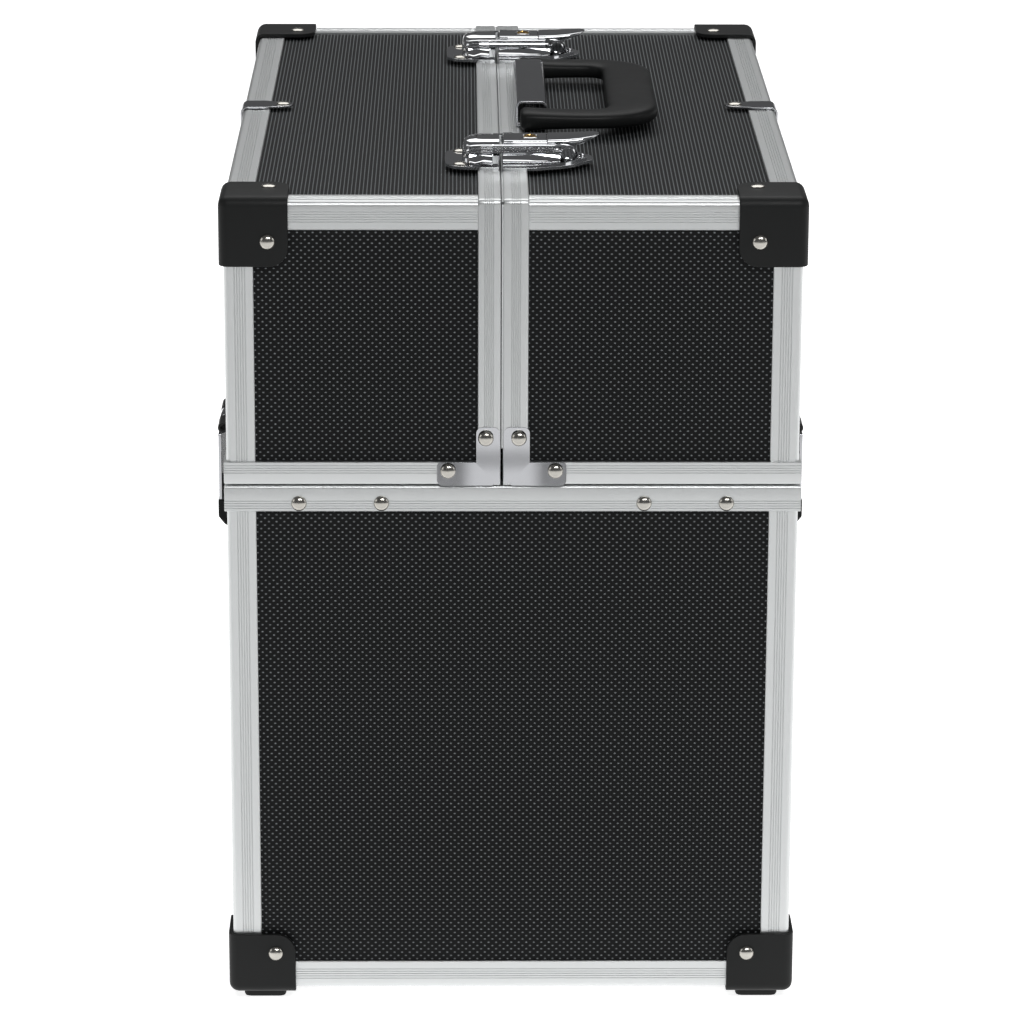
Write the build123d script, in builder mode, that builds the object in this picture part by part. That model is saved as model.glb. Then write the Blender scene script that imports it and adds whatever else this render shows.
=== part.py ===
"""Makeup train case: a tall black case with aluminium edges, two lids that swing outwards and
cantilever trays that rise and spread with each lid.

Frame: +X to the right across the narrow end, +Y along the case from the near end to the far end,
+Z up.  The origin is on the floor under the middle of the case.  All sizes are in millimetres.
"""

import os
from math import cos, radians, sin

from build123d import *

os.makedirs("parts", exist_ok=True)

# ---- driving dimensions -------------------------------------------------------------------------
CASE_WIDTH = 236.0  # over the aluminium, along X
CASE_LENGTH = 366.0  # over the aluminium, along Y
CASE_BOTTOM = 6.0  # underside of the aluminium above the floor
CASE_TOP = 350.0
BASE_RIM = 229.8  # top of the base
LID_RIM = 230.3  # bottom of both lids
SPLIT = {"left": -5.0, "right": -4.2}  # X of each lid's edge at the middle of the top

PROFILE = 1.2  # wall of an aluminium angle
FLANGE = 12.0  # leg of an aluminium angle
PROUD = 1.0  # how far the rim and centre channels stand out past the angles
LIP = 1.0  # inner lip of a channel
PANEL = 3.2  # faced board
GAP = 0.2  # joint between pieces that butt
BASE_RAIL = 11.0  # height of the base's rim channel
LID_RAIL = 9.7  # height of the lids' rim channel
CENTRE_RAIL = {"left": 9.5, "right": 10.5}

CAP = 2.0  # wall of a corner protector
CAP_REACH = 29.0  # leg of a corner protector, measured from its own outer faces
CAP_ROUND = 4.0
CAP_RIVET = 20.0  # from a protector's outer corner to its rivets, along the case
CAP_RIVET_RISE = 18.5  # the same, up or down
FOOT_SIZE = 17.8
FOOT_MIDDLE = 104.9  # X of a foot's centre
RIVET_RADIUS = 3.1
RIVET_HEIGHT = 1.8

HINGE_X = 123.7  # pin axis of the lid hinges
HINGE_Z = 231.0
HINGE_Y = 83.0
HINGE_LENGTH = 40.0
HINGE_PIN = 1.2
HINGE_BARREL = 2.1
LEAF = 1.5
LEAF_RISE = 31.0  # height of a lid leaf above the pin
STRIP_DROP = 32.4  # depth of a hanging leaf below the pin
END_DROP = 43.8  # depth of its end piece
RUNNING = 0.05  # radial clearance of a pin in its hole

ARM_LENGTH = 46.0  # pivot to pivot
ARM_LEAN = 55.0  # closed lean of the arms from upright, towards the middle
ARM_WIDTH = 10.0
ARM_THICK = 1.5
ARM_OUTER_X = 88.2
ARM_INNER_X = 54.2
ARM_BASE_Z = 222.3
ARM_Y = 174.5  # inner face of the arms
STUD = 2.5
UPPER_ARM_SHIFT = 4.8  # the upper arms start this much further out than the lower ones
UPPER_ARM_Z = 270.0

TRAY_WALL = 1.6
TRAY_GAP = 0.05  # glue line between a tray's sheets, which are joined at their edges
TRAY_OUT = 103.5
TRAY_IN = 9.0
TRAY_HALF_LENGTH = 173.5
TRAYS = {"lower": (236.0, 280.0), "upper": (284.0, 324.0)}

BRACKET_TOP = 255.0  # of the bright bracket at the foot of each centre channel
BRACKET_ARM = 26.2
BRACKET_INSET = 4.5  # from the end of an arm to its rivet
BRACKET_SHIFT = 1.4  # how far the rivets stand off the arms' middle lines
CLIP_WIDTH = 14.0
CLIP_REACH = 96.0
CLIP_FOOT = 328.0
CLIP_INSET = 4.5

LATCH_Y = 112.0
CATCH_END = -28.0
CATCH_FRONT = -8.3  # the catch stops here under the hook
CATCH_CAP = (-20.0, -5.4)  # the raised middle of the catch
CATCH_HALF = 17.0
CATCH_RIVET = 12.5
CATCH_INSET = 6.4
LATCH_END = 34.0
LATCH_HALF = 20.0
EAR_END = 2.0
LEVER_X = -1.5
LEVER_Z = 358.8
LEVER_HALF = 8.2
LEVER_PIN = 1.3
LEVER_FRONT = -3.9
LEVER_FOOT, LEVER_TOP = 357.2, 361.2
TAIL_BEND, TAIL_END = 27.0, 38.0
TAIL_RISE = 1.6  # how far the tail's tip rises above the lever
TAIL_THICK = 1.8
LOCK_X = 7.5
LOCK_RADIUS = 2.8
LOCK_PROUD = 0.6
KEYWAY = 0.8
HOOK_X = 22.0
HOOK_Z = 358.8
HOOK_TIP = -8.0
BAR_IN, BAR_OUT = 10.1, 12.7  # Y of the hook's side bars, from the latch's middle
BAR_Z0, BAR_Z1 = 356.8, 360.2

HANDLE_X = 9.0
HANDLE_Z = 356.2
HANDLE_ROD = 2.5
BRACKET_HALF = 46.0  # of the steel cover over the handle's rod
BRACKET_X0, BRACKET_X1 = 2.3, 15.9
BRACKET_HIGH = 362.8
BRACKET_FOOT = 12.0
GRIP_HALF = 62.0
GRIP_X0, GRIP_X1 = 44.0, 66.0
GRIP_Z0, GRIP_Z1 = 352.2, 360.4
GRIP_ROUND = 24.0
HUB = 4.9

# ---- worked out from them -----------------------------------------------------------------------
HALF_W = CASE_WIDTH / 2
HALF_L = CASE_LENGTH / 2
BOARD_W = HALF_W - PROFILE  # outer face of the side boards
BOARD_L = HALF_L - PROFILE  # outer face of the end boards
INNER_W = BOARD_W - PANEL
INNER_L = BOARD_L - PANEL
PROUD_W = HALF_W + PROUD
PROUD_L = HALF_L + PROUD
PROUD_TOP = CASE_TOP + PROUD
BOARD_TOP = CASE_TOP - PROFILE
CAP_W = HALF_W + CAP
CAP_L = HALF_L + CAP
CAP_TOP = CASE_TOP + CAP
CAP_BOTTOM = CASE_BOTTOM - CAP
RIVET_X = CAP_W - CAP_RIVET
RIVET_Y = CAP_L - CAP_RIVET
LOW_RIVET_Z = CAP_BOTTOM + CAP_RIVET_RISE
HIGH_RIVET_Z = CAP_TOP - CAP_RIVET_RISE
PLATE_TOP = PROUD_TOP + PROFILE
RISE = ARM_LENGTH * cos(radians(ARM_LEAN))
REACH = ARM_LENGTH * sin(radians(ARM_LEAN))
SIGN = {"left": -1, "right": 1}
ENDS = {"near": -1, "far": 1}


def save(builder, name):
    builder.part.label = name
    export_step(builder.part, f"parts/{name}.step")


def block(x0, x1, y0, y1, z0, z1, mode=Mode.ADD):
    """A box between two opposite corners, given in any order."""
    with Locations(((x0 + x1) / 2, (y0 + y1) / 2, (z0 + z1) / 2)):
        Box(abs(x1 - x0), abs(y1 - y0), abs(z1 - z0), mode=mode)


def rivet(x, y, z, facing):
    """A domed head that sits on a surface whose normal is `facing`."""
    with Locations(Plane(origin=(x, y, z), z_dir=facing)):
        Cone(RIVET_RADIUS, RIVET_RADIUS * 0.5, RIVET_HEIGHT,
             align=(Align.CENTER, Align.CENTER, Align.MIN))


def rod(x, y0, y1, z, radius, mode=Mode.ADD):
    """A round bar or hole along Y."""
    with Locations(Plane(origin=(x, min(y0, y1), z), z_dir=(0, 1, 0))):
        Cylinder(radius, abs(y1 - y0), align=(Align.CENTER, Align.CENTER, Align.MIN), mode=mode)


def mitre_corners(x, z0, z1):
    """Part the profiles that meet at the two corners of the side at X."""
    way = 1 if x > 0 else -1
    for end in ENDS.values():
        with Locations(Location((x, end * HALF_L, (z0 + z1) / 2), (0, 0, 45 * end * way))):
            Box(3 * FLANGE, GAP, z1 - z0, mode=Mode.SUBTRACT)


# ---- base ---------------------------------------------------------------------------------------
for end, out in ENDS.items():
    with BuildPart() as base_end_panel:
        block(-BOARD_W + GAP, BOARD_W - GAP, out * BOARD_L, out * INNER_L,
              CASE_BOTTOM + PROFILE, BASE_RIM - LIP)
    save(base_end_panel, f"base_end_panel_{end}")

for side, out in SIGN.items():
    with BuildPart() as base_side_panel:
        block(out * BOARD_W, out * INNER_W, -INNER_L + GAP, INNER_L - GAP,
              CASE_BOTTOM + PROFILE, BASE_RIM - LIP)
    save(base_side_panel, f"base_side_panel_{side}")

with BuildPart() as base_floor_panel:
    block(-INNER_W + GAP, INNER_W - GAP, -INNER_L + GAP, INNER_L - GAP,
          CASE_BOTTOM + PROFILE, CASE_BOTTOM + PROFILE + PANEL)
save(base_floor_panel, "base_floor_panel")

with BuildPart() as base_corner_posts:
    for out in SIGN.values():
        for end in ENDS.values():
            z0, z1 = CASE_BOTTOM + FLANGE + GAP, BASE_RIM - BASE_RAIL - GAP
            block(out * HALF_W, out * (HALF_W - FLANGE), end * HALF_L, end * BOARD_L, z0, z1)
            block(out * HALF_W, out * BOARD_W, end * HALF_L, end * (HALF_L - FLANGE), z0, z1)
save(base_corner_posts, "base_corner_posts")

with BuildPart() as base_floor_edging:
    block(-HALF_W, HALF_W, -HALF_L, HALF_L, CASE_BOTTOM, CASE_BOTTOM + FLANGE)
    block(-BOARD_W, BOARD_W, -BOARD_L, BOARD_L, CASE_BOTTOM + PROFILE, CASE_BOTTOM + FLANGE,
          Mode.SUBTRACT)
    block(FLANGE - HALF_W, HALF_W - FLANGE, FLANGE - HALF_L, HALF_L - FLANGE, CASE_BOTTOM,
          CASE_BOTTOM + PROFILE, Mode.SUBTRACT)
    for out in SIGN.values():
        mitre_corners(out * HALF_W, CASE_BOTTOM, CASE_BOTTOM + FLANGE)
save(base_floor_edging, "base_floor_edging")

with BuildPart() as base_rim_rails:
    rail_foot = BASE_RIM - BASE_RAIL
    block(-PROUD_W, PROUD_W, -PROUD_L, PROUD_L, rail_foot, BASE_RIM)
    block(-BOARD_W, BOARD_W, -BOARD_L, BOARD_L, rail_foot, BASE_RIM - LIP, Mode.SUBTRACT)
    block(-INNER_W, INNER_W, -INNER_L, INNER_L, rail_foot, BASE_RIM - LIP)
    block(LIP - INNER_W, INNER_W - LIP, LIP - INNER_L, INNER_L - LIP, rail_foot, BASE_RIM,
          Mode.SUBTRACT)
    for out in SIGN.values():
        mitre_corners(out * HALF_W, rail_foot, BASE_RIM)
save(base_rim_rails, "base_rim_rails")

with BuildPart() as bottom_corner_caps:
    for out in SIGN.values():
        for end in ENDS.values():
            block(out * CAP_W, out * (CAP_W - CAP_REACH), end * CAP_L, end * (CAP_L - CAP_REACH),
                  CAP_BOTTOM, CAP_BOTTOM + CAP_REACH - CAP)
    corners = bottom_corner_caps.edges().filter_by(Axis.Z)
    outer = [e for e in corners if abs(e.center().X) > HALF_W and abs(e.center().Y) > HALF_L]
    fillet(outer, CAP_ROUND)
    block(-HALF_W, HALF_W, -HALF_L, HALF_L, CASE_BOTTOM, CASE_TOP, Mode.SUBTRACT)
    for out in SIGN.values():
        for end in ENDS.values():
            foot_y = end * (CAP_L - (CAP_W - FOOT_MIDDLE))
            with Locations((out * FOOT_MIDDLE, foot_y, CAP_BOTTOM / 2)):
                Box(FOOT_SIZE, FOOT_SIZE, CAP_BOTTOM)
save(bottom_corner_caps, "bottom_corner_caps")

with BuildPart() as base_rivets:
    for end in ENDS.values():
        for out in SIGN.values():
            for arm_x in (ARM_OUTER_X, ARM_INNER_X):
                rivet(out * arm_x, end * PROUD_L, ARM_BASE_Z, (0, end, 0))
            rivet(out * RIVET_X, end * CAP_L, LOW_RIVET_Z, (0, end, 0))
            rivet(out * CAP_W, end * RIVET_Y, LOW_RIVET_Z, (out, 0, 0))
save(base_rivets, "base_rivets")

with BuildPart() as tray_brackets:
    bracket_y = INNER_L - LIP
    for end in ENDS.values():
        for out in SIGN.values():
            block(out * (ARM_OUTER_X + 8), out * (ARM_INNER_X - 8), end * bracket_y,
                  end * (bracket_y - ARM_THICK), ARM_BASE_Z - 12, BASE_RIM - 1)
            for arm_x in (ARM_OUTER_X, ARM_INNER_X):
                rod(out * arm_x, end * (bracket_y - ARM_THICK), end * (ARM_Y - 0.2), ARM_BASE_Z, STUD)
save(tray_brackets, "tray_brackets")

# ---- lid hinges: leaves on the base and their pins --------------------------------------------
KNUCKLE = HINGE_LENGTH / 3
HINGES = [(out, y) for out in SIGN.values() for y in (-HINGE_Y, HINGE_Y)]

with BuildPart() as hinge_base_leaves:
    for out, y in HINGES:
        strip_x = HINGE_X + HINGE_BARREL
        block(out * strip_x, out * (strip_x - LEAF), y - HINGE_LENGTH / 2, y + HINGE_LENGTH / 2,
              HINGE_Z - STRIP_DROP, HINGE_Z - HINGE_BARREL - 0.3)
        block(out * strip_x, out * (strip_x - LEAF), y - KNUCKLE / 2 + 0.2, y + KNUCKLE / 2 - 0.2,
              HINGE_Z - HINGE_BARREL - 0.3, HINGE_Z)
        rod(out * HINGE_X, y - KNUCKLE / 2 + 0.2, y + KNUCKLE / 2 - 0.2, HINGE_Z, HINGE_BARREL)
        rod(out * HINGE_X, y - KNUCKLE / 2, y + KNUCKLE / 2, HINGE_Z, HINGE_PIN + 0.02, Mode.SUBTRACT)
save(hinge_base_leaves, "hinge_base_leaves")

with BuildPart() as hinge_end_caps:
    for out, y in HINGES:
        block(out * BOARD_W, out * (HINGE_X + HINGE_BARREL + 0.3), y - HINGE_LENGTH / 2,
              y + HINGE_LENGTH / 2, HINGE_Z - END_DROP, HINGE_Z - STRIP_DROP)
save(hinge_end_caps, "hinge_end_caps")

with BuildPart() as hinge_pins:
    for out, y in HINGES:
        rod(out * HINGE_X, y - HINGE_LENGTH / 2, y + HINGE_LENGTH / 2, HINGE_Z, HINGE_PIN)
save(hinge_pins, "hinge_pins")


# ---- lids ---------------------------------------------------------------------------------------
def make_lid(side):
    out = SIGN[side]
    middle = SPLIT[side]
    rail_in = middle + out * CENTRE_RAIL[side]  # where the angles stop at the centre channel
    board_in = middle + out * LIP
    lid = f"lid_{side}"

    with BuildPart() as top_panel:
        block(out * BOARD_W, board_in, -BOARD_L, BOARD_L, BOARD_TOP - PANEL, BOARD_TOP)
    save(top_panel, f"{lid}_top_panel")

    with BuildPart() as side_panel:
        block(out * BOARD_W, out * INNER_W, GAP - INNER_L, INNER_L - GAP, LID_RIM + LIP,
              BOARD_TOP - PANEL - GAP)
    save(side_panel, f"{lid}_side_panel")

    for end, way in ENDS.items():
        with BuildPart() as end_panel:
            block(out * (BOARD_W - GAP), board_in, way * BOARD_L, way * INNER_L, LID_RIM + LIP,
                  BOARD_TOP - PANEL - GAP)
        save(end_panel, f"{lid}_end_panel_{end}")

    with BuildPart() as edging:
        rail_top = LID_RIM + LID_RAIL
        flange_foot = CASE_TOP - FLANGE
        stop = rail_in + out * GAP
        for way in ENDS.values():
            block(out * HALF_W, stop, way * HALF_L, way * (HALF_L - FLANGE), BOARD_TOP, CASE_TOP)
            block(out * HALF_W, stop, way * HALF_L, way * BOARD_L, flange_foot, CASE_TOP)
            block(out * HALF_W, out * (HALF_W - FLANGE), way * HALF_L, way * BOARD_L,
                  rail_top + GAP, flange_foot - GAP)
            block(out * HALF_W, out * BOARD_W, way * HALF_L, way * (HALF_L - FLANGE),
                  rail_top + GAP, flange_foot - GAP)
            block(out * PROUD_W, stop, way * PROUD_L, way * BOARD_L, LID_RIM, rail_top)
            block(out * PROUD_W, stop, way * PROUD_L, way * (INNER_L - LIP), LID_RIM, LID_RIM + LIP)
            block(out * INNER_W, stop, way * INNER_L, way * (INNER_L - LIP), LID_RIM, rail_top)
        block(out * HALF_W, out * (HALF_W - FLANGE), -HALF_L, HALF_L, BOARD_TOP, CASE_TOP)
        block(out * HALF_W, out * BOARD_W, -HALF_L, HALF_L, flange_foot, CASE_TOP)
        block(out * PROUD_W, out * BOARD_W, -PROUD_L, PROUD_L, LID_RIM, rail_top)
        block(out * PROUD_W, out * (INNER_W - LIP), -PROUD_L, PROUD_L, LID_RIM, LID_RIM + LIP)
        block(out * INNER_W, out * (INNER_W - LIP), -INNER_L, INNER_L, LID_RIM, rail_top)
        mitre_corners(out * HALF_W, LID_RIM, rail_top)
        mitre_corners(out * HALF_W, flange_foot, CASE_TOP)
    save(edging, f"{lid}_edging")

    with BuildPart() as centre_frame:
        block(middle, rail_in, -PROUD_L, PROUD_L, LID_RIM, PROUD_TOP)
        block(board_in, rail_in, -BOARD_L, BOARD_L, LID_RIM, BOARD_TOP, Mode.SUBTRACT)
        block(board_in, rail_in, -INNER_L, INNER_L, LID_RIM, BOARD_TOP - PANEL)
        block(middle, rail_in, LIP - INNER_L, INNER_L - LIP, LID_RIM, BOARD_TOP - PANEL - LIP,
              Mode.SUBTRACT)
        for way in ENDS.values():
            turn = Location((middle, way * HALF_L, CASE_TOP), (45 * way, 0, 0))
            with Locations(turn):
                Box(4 * FLANGE, 3 * FLANGE, GAP, mode=Mode.SUBTRACT)
    save(centre_frame, f"{lid}_centre_frame")

    with BuildPart() as corner_caps:
        for way in ENDS.values():
            block(out * CAP_W, out * (CAP_W - CAP_REACH), way * CAP_L, way * (CAP_L - CAP_REACH),
                  CAP_TOP - CAP_REACH, CAP_TOP)
        top_edges = corner_caps.edges().filter_by(Axis.Y).group_by(Axis.Z)[-1]
        fillet([e for e in top_edges if abs(e.center().X) > HALF_W], CAP_ROUND)
        upright = corner_caps.edges().filter_by(Axis.Z)
        fillet([e for e in upright if abs(e.center().X) > HALF_W and abs(e.center().Y) > HALF_L],
               CAP_ROUND)
        block(-HALF_W, HALF_W, -HALF_L, HALF_L, CASE_BOTTOM, CASE_TOP, Mode.SUBTRACT)
    save(corner_caps, f"{lid}_corner_caps")

    bracket_face = PROUD_L + PROFILE
    with BuildPart() as corner_brackets:
        for way in ENDS.values():
            with BuildSketch(Plane(origin=(0, way * PROUD_L, 0), x_dir=(1, 0, 0), z_dir=(0, -1, 0))):
                with Locations(((middle + rail_in) / 2, (LID_RIM + BRACKET_TOP) / 2)):
                    Rectangle(CENTRE_RAIL[side], BRACKET_TOP - LID_RIM)
                with Locations((middle + out * BRACKET_ARM / 2, LID_RIM + LID_RAIL / 2)):
                    Rectangle(BRACKET_ARM, LID_RAIL)
            extrude(amount=-way * PROFILE)
    save(corner_brackets, f"{lid}_corner_brackets")

    with BuildPart() as edge_clip:
        clip_x = HALF_W + PROFILE
        block(out * clip_x, out * CLIP_REACH, -CLIP_WIDTH / 2, CLIP_WIDTH / 2, CASE_TOP,
              CASE_TOP + PROFILE)
        block(out * clip_x, out * HALF_W, -CLIP_WIDTH / 2, CLIP_WIDTH / 2, CLIP_FOOT,
              CASE_TOP + PROFILE)
    save(edge_clip, f"{lid}_edge_clip")

    with BuildPart() as hinge_leaves:
        for y in (-HINGE_Y, HINGE_Y):
            block(out * PROUD_W, out * (PROUD_W + LEAF), y - HINGE_LENGTH / 2, y + HINGE_LENGTH / 2,
                  HINGE_Z + 0.6, HINGE_Z + LEAF_RISE)
            block(out * PROUD_W, out * HINGE_X, y - HINGE_LENGTH / 2, y + HINGE_LENGTH / 2,
                  HINGE_Z + 0.6, HINGE_Z + HINGE_BARREL)
            rod(out * HINGE_X, y - HINGE_LENGTH / 2, y + HINGE_LENGTH / 2, HINGE_Z, HINGE_BARREL)
            block(out * (HINGE_X - 3), out * (HINGE_X + 3), y - KNUCKLE / 2, y + KNUCKLE / 2,
                  HINGE_Z - 3, HINGE_Z + 3, Mode.SUBTRACT)
            rod(out * HINGE_X, y - HINGE_LENGTH, y + HINGE_LENGTH, HINGE_Z, HINGE_PIN + RUNNING,
                Mode.SUBTRACT)
    save(hinge_leaves, f"{lid}_hinge_leaves")

    with BuildPart() as rivets:
        for way in ENDS.values():
            rivet(out * RIVET_X, way * CAP_L, HIGH_RIVET_Z, (0, way, 0))
            rivet(out * CAP_W, way * RIVET_Y, HIGH_RIVET_Z, (out, 0, 0))
            rivet(out * RIVET_X, way * RIVET_Y, CAP_TOP, (0, 0, 1))
            rivet((middle + rail_in) / 2 + out * BRACKET_SHIFT, way * bracket_face,
                  BRACKET_TOP - BRACKET_INSET, (0, way, 0))
            rivet(middle + out * (BRACKET_ARM - BRACKET_INSET), way * bracket_face,
                  LID_RIM + LID_RAIL / 2 + BRACKET_SHIFT, (0, way, 0))
        rivet(out * (CLIP_REACH + CLIP_INSET), 0, CASE_TOP + PROFILE, (0, 0, 1))
        rivet(out * (HALF_W + PROFILE), 0, CLIP_FOOT + CLIP_INSET, (out, 0, 0))
        for y in (-HINGE_Y, HINGE_Y):
            for step in (-1, 1):
                rivet(out * (PROUD_W + LEAF), y + step * KNUCKLE, HINGE_Z + LEAF_RISE - HUB,
                      (out, 0, 0))
        if side == "left":
            for y in (-LATCH_Y, LATCH_Y):
                for step in (-1, 1):
                    rivet(CATCH_END + CATCH_INSET, y + step * CATCH_RIVET, PLATE_TOP, (0, 0, 1))
    save(rivets, f"{lid}_rivets")


for lid_side in SIGN:
    make_lid(lid_side)


# ---- latches --------------------------------------------------------------------------------------
with BuildPart() as catch_plates:
    for y in (-LATCH_Y, LATCH_Y):
        block(CATCH_END, CATCH_FRONT, y - CATCH_HALF, y + CATCH_HALF, PROUD_TOP, PLATE_TOP)
        block(*CATCH_CAP, y - LEVER_HALF, y + LEVER_HALF, PROUD_TOP, LEVER_TOP)
        bar_start = CATCH_END + CATCH_INSET + RIVET_RADIUS + GAP
        for step in (-1, 1):
            block(bar_start, CATCH_FRONT, y + step * BAR_IN, y + step * BAR_OUT, PLATE_TOP, BAR_Z1)
save(catch_plates, "catch_plates")

with BuildPart() as latch_bases:
    for y in (-LATCH_Y, LATCH_Y):
        block(SPLIT["right"], LATCH_END, y - LATCH_HALF, y + LATCH_HALF, PROUD_TOP, PLATE_TOP)
        for step in (-1, 1):
            block(SPLIT["right"], EAR_END, y + step * (LEVER_HALF + 0.3), y + step * (BAR_IN - 0.3),
                  PLATE_TOP, LEVER_TOP)
        rod(LEVER_X, y - BAR_IN, y + BAR_IN, LEVER_Z, LEVER_PIN + RUNNING, Mode.SUBTRACT)
save(latch_bases, "latch_bases")

for end, way in ENDS.items():
    y = way * LATCH_Y
    with BuildPart() as latch_lever:
        tip = LEVER_TOP + TAIL_RISE
        with BuildSketch(Plane(origin=(0, y - LEVER_HALF, 0), x_dir=(1, 0, 0), z_dir=(0, -1, 0))):
            with BuildLine():
                Polyline((LEVER_FRONT, LEVER_FOOT), (TAIL_BEND, LEVER_FOOT),
                         (TAIL_END, tip - TAIL_THICK), (TAIL_END, tip),
                         (TAIL_BEND - GAP, LEVER_TOP), (LEVER_FRONT, LEVER_TOP), close=True)
            make_face()
        extrude(amount=-2 * LEVER_HALF)
        rod(LEVER_X, y - BAR_IN + 0.3, y + BAR_IN - 0.3, LEVER_Z, LEVER_PIN)
        with Locations((LOCK_X, y, LEVER_Z)):
            Cylinder(LOCK_RADIUS + RUNNING, 3 * TAIL_RISE + BAR_IN, mode=Mode.SUBTRACT)
        rod(HOOK_X, y - LEVER_HALF, y + LEVER_HALF, HOOK_Z, LEVER_PIN + RUNNING, Mode.SUBTRACT)
    save(latch_lever, f"latch_lever_{end}")

    with BuildPart() as latch_hook:
        for step in (-1, 1):
            block(HOOK_TIP, HOOK_X + 2 * LEVER_PIN, y + step * BAR_IN, y + step * BAR_OUT, BAR_Z0,
                  BAR_Z1)
        rod(HOOK_X, y - BAR_IN - 1, y + BAR_IN + 1, HOOK_Z, LEVER_PIN)
    save(latch_hook, f"latch_hook_{end}")

    with BuildPart() as lock_core:
        with Locations((LOCK_X, y, BAR_Z0)):
            Cylinder(LOCK_RADIUS, LEVER_TOP + LOCK_PROUD - BAR_Z0,
                     align=(Align.CENTER, Align.CENTER, Align.MIN))
        block(LOCK_X - FLANGE, LOCK_X + FLANGE, y - KEYWAY / 2, y + KEYWAY / 2, LEVER_TOP - GAP,
              LEVER_TOP + LEAF, Mode.SUBTRACT)
    save(lock_core, f"lock_core_{end}")

# ---- handle ---------------------------------------------------------------------------------------
with BuildPart() as handle_bracket:
    block(BRACKET_X0, BRACKET_X1, -BRACKET_HALF, BRACKET_HALF, PROUD_TOP, BRACKET_HIGH)
    block(BRACKET_X0 + LEAF, BRACKET_X1 - LEAF, LEAF - BRACKET_HALF, BRACKET_HALF - LEAF, PROUD_TOP,
          BRACKET_HIGH - LEAF, Mode.SUBTRACT)
    for way in ENDS.values():
        block(SPLIT["right"] + CENTRE_RAIL["right"] + 0.3, BRACKET_X1, way * BRACKET_HALF,
              way * (BRACKET_HALF - BRACKET_FOOT), BOARD_TOP, PROUD_TOP + LEAF)
    rod(HANDLE_X, -BRACKET_HALF, BRACKET_HALF, HANDLE_Z, HANDLE_ROD + RUNNING, Mode.SUBTRACT)
save(handle_bracket, "handle_bracket")

with BuildPart() as handle_grip:
    with BuildSketch(Plane.XY.offset(GRIP_Z0)):
        with Locations(((HANDLE_X + GRIP_X1) / 2, 0)):
            Rectangle(GRIP_X1 - HANDLE_X, 2 * GRIP_HALF)
        far_corners = [v for v in vertices() if v.X > HANDLE_X + 1]
        fillet(far_corners, GRIP_ROUND)
        with Locations(((HANDLE_X + GRIP_X0) / 2 - 5, 0)):
            Rectangle(GRIP_X0 - HANDLE_X + 10, 2 * (BRACKET_HALF + 0.5), mode=Mode.SUBTRACT)
    extrude(amount=GRIP_Z1 - GRIP_Z0)
    for way in ENDS.values():
        rod(HANDLE_X, way * (BRACKET_HALF + 0.5), way * GRIP_HALF, HANDLE_Z, HUB)
        rod(HANDLE_X, way * BRACKET_HALF, way * (BRACKET_HALF + 6), HANDLE_Z, HANDLE_ROD,
            Mode.SUBTRACT)
save(handle_grip, "handle_grip")

with BuildPart() as handle_rod:
    rod(HANDLE_X, -BRACKET_HALF - 6, BRACKET_HALF + 6, HANDLE_Z, HANDLE_ROD)
save(handle_rod, "handle_rod")


# ---- trays and their arms -----------------------------------------------------------------------
def pivots(side, level):
    """Lower pivots of the outer and the inner arm of a stage, as (x, z)."""
    out = SIGN[side]
    shift = 0.0 if level == "lower" else UPPER_ARM_SHIFT
    z = ARM_BASE_Z if level == "lower" else UPPER_ARM_Z
    return {"outer": (out * (ARM_OUTER_X + shift), z), "inner": (out * (ARM_INNER_X + shift), z)}


STUD_END = ARM_Y + ARM_THICK + 0.2
for side, out in SIGN.items():
    for level, (z0, z1) in TRAYS.items():
        with BuildPart() as tray:
            wall_foot = z0 + TRAY_WALL + TRAY_GAP
            block(out * TRAY_OUT, out * TRAY_IN, -TRAY_HALF_LENGTH, TRAY_HALF_LENGTH, z0,
                  z0 + TRAY_WALL)
            for x0, x1 in ((TRAY_OUT, TRAY_OUT - TRAY_WALL), (TRAY_IN, TRAY_IN + TRAY_WALL)):
                block(out * x0, out * x1, TRAY_WALL + TRAY_GAP - TRAY_HALF_LENGTH,
                      TRAY_HALF_LENGTH - TRAY_WALL - TRAY_GAP, wall_foot, z1)
            for way in ENDS.values():
                block(out * TRAY_OUT, out * TRAY_IN, way * TRAY_HALF_LENGTH,
                      way * (TRAY_HALF_LENGTH - TRAY_WALL), wall_foot, z1)
            studs = [(x - out * REACH, z + RISE) for x, z in pivots(side, level).values()]
            if level == "lower":
                studs += pivots(side, "upper").values()
            for x, z in studs:
                for way in ENDS.values():
                    rod(x, way * (TRAY_HALF_LENGTH + TRAY_GAP), way * STUD_END, z, STUD)
        save(tray, f"tray_{side}_{level}")

        for place, (x, z) in pivots(side, level).items():
            with BuildPart() as arm:
                top = (x - out * REACH, z + RISE)
                for way in ENDS.values():
                    plane = Plane(origin=(0, way * ARM_Y, 0), x_dir=(1, 0, 0), z_dir=(0, -1, 0))
                    with BuildSketch(plane):
                        middle = ((x + top[0]) / 2, z + RISE / 2)
                        with Locations(Location((*middle, 0), (0, 0, 90 + out * ARM_LEAN))):
                            SlotCenterToCenter(ARM_LENGTH, ARM_WIDTH)
                        with Locations((x, z), top):
                            Circle(STUD + RUNNING, mode=Mode.SUBTRACT)
                    extrude(amount=-way * ARM_THICK)
            save(arm, f"arm_{side}_{level}_{place}")
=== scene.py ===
# %% [markdown]
# # A make-up train case
# The case is a box of black faced board, held together by aluminium edge profiles, with moulded
# corner protectors, two lids that fold outwards and four trays that rise with them.
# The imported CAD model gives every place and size.  This lesson remakes the pieces that need fine
# detail, and gives each carried-over piece the finish of its real material.


# %% Load the frame
import math

import bmesh
import bpy
from mathutils import Matrix, Vector


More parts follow.
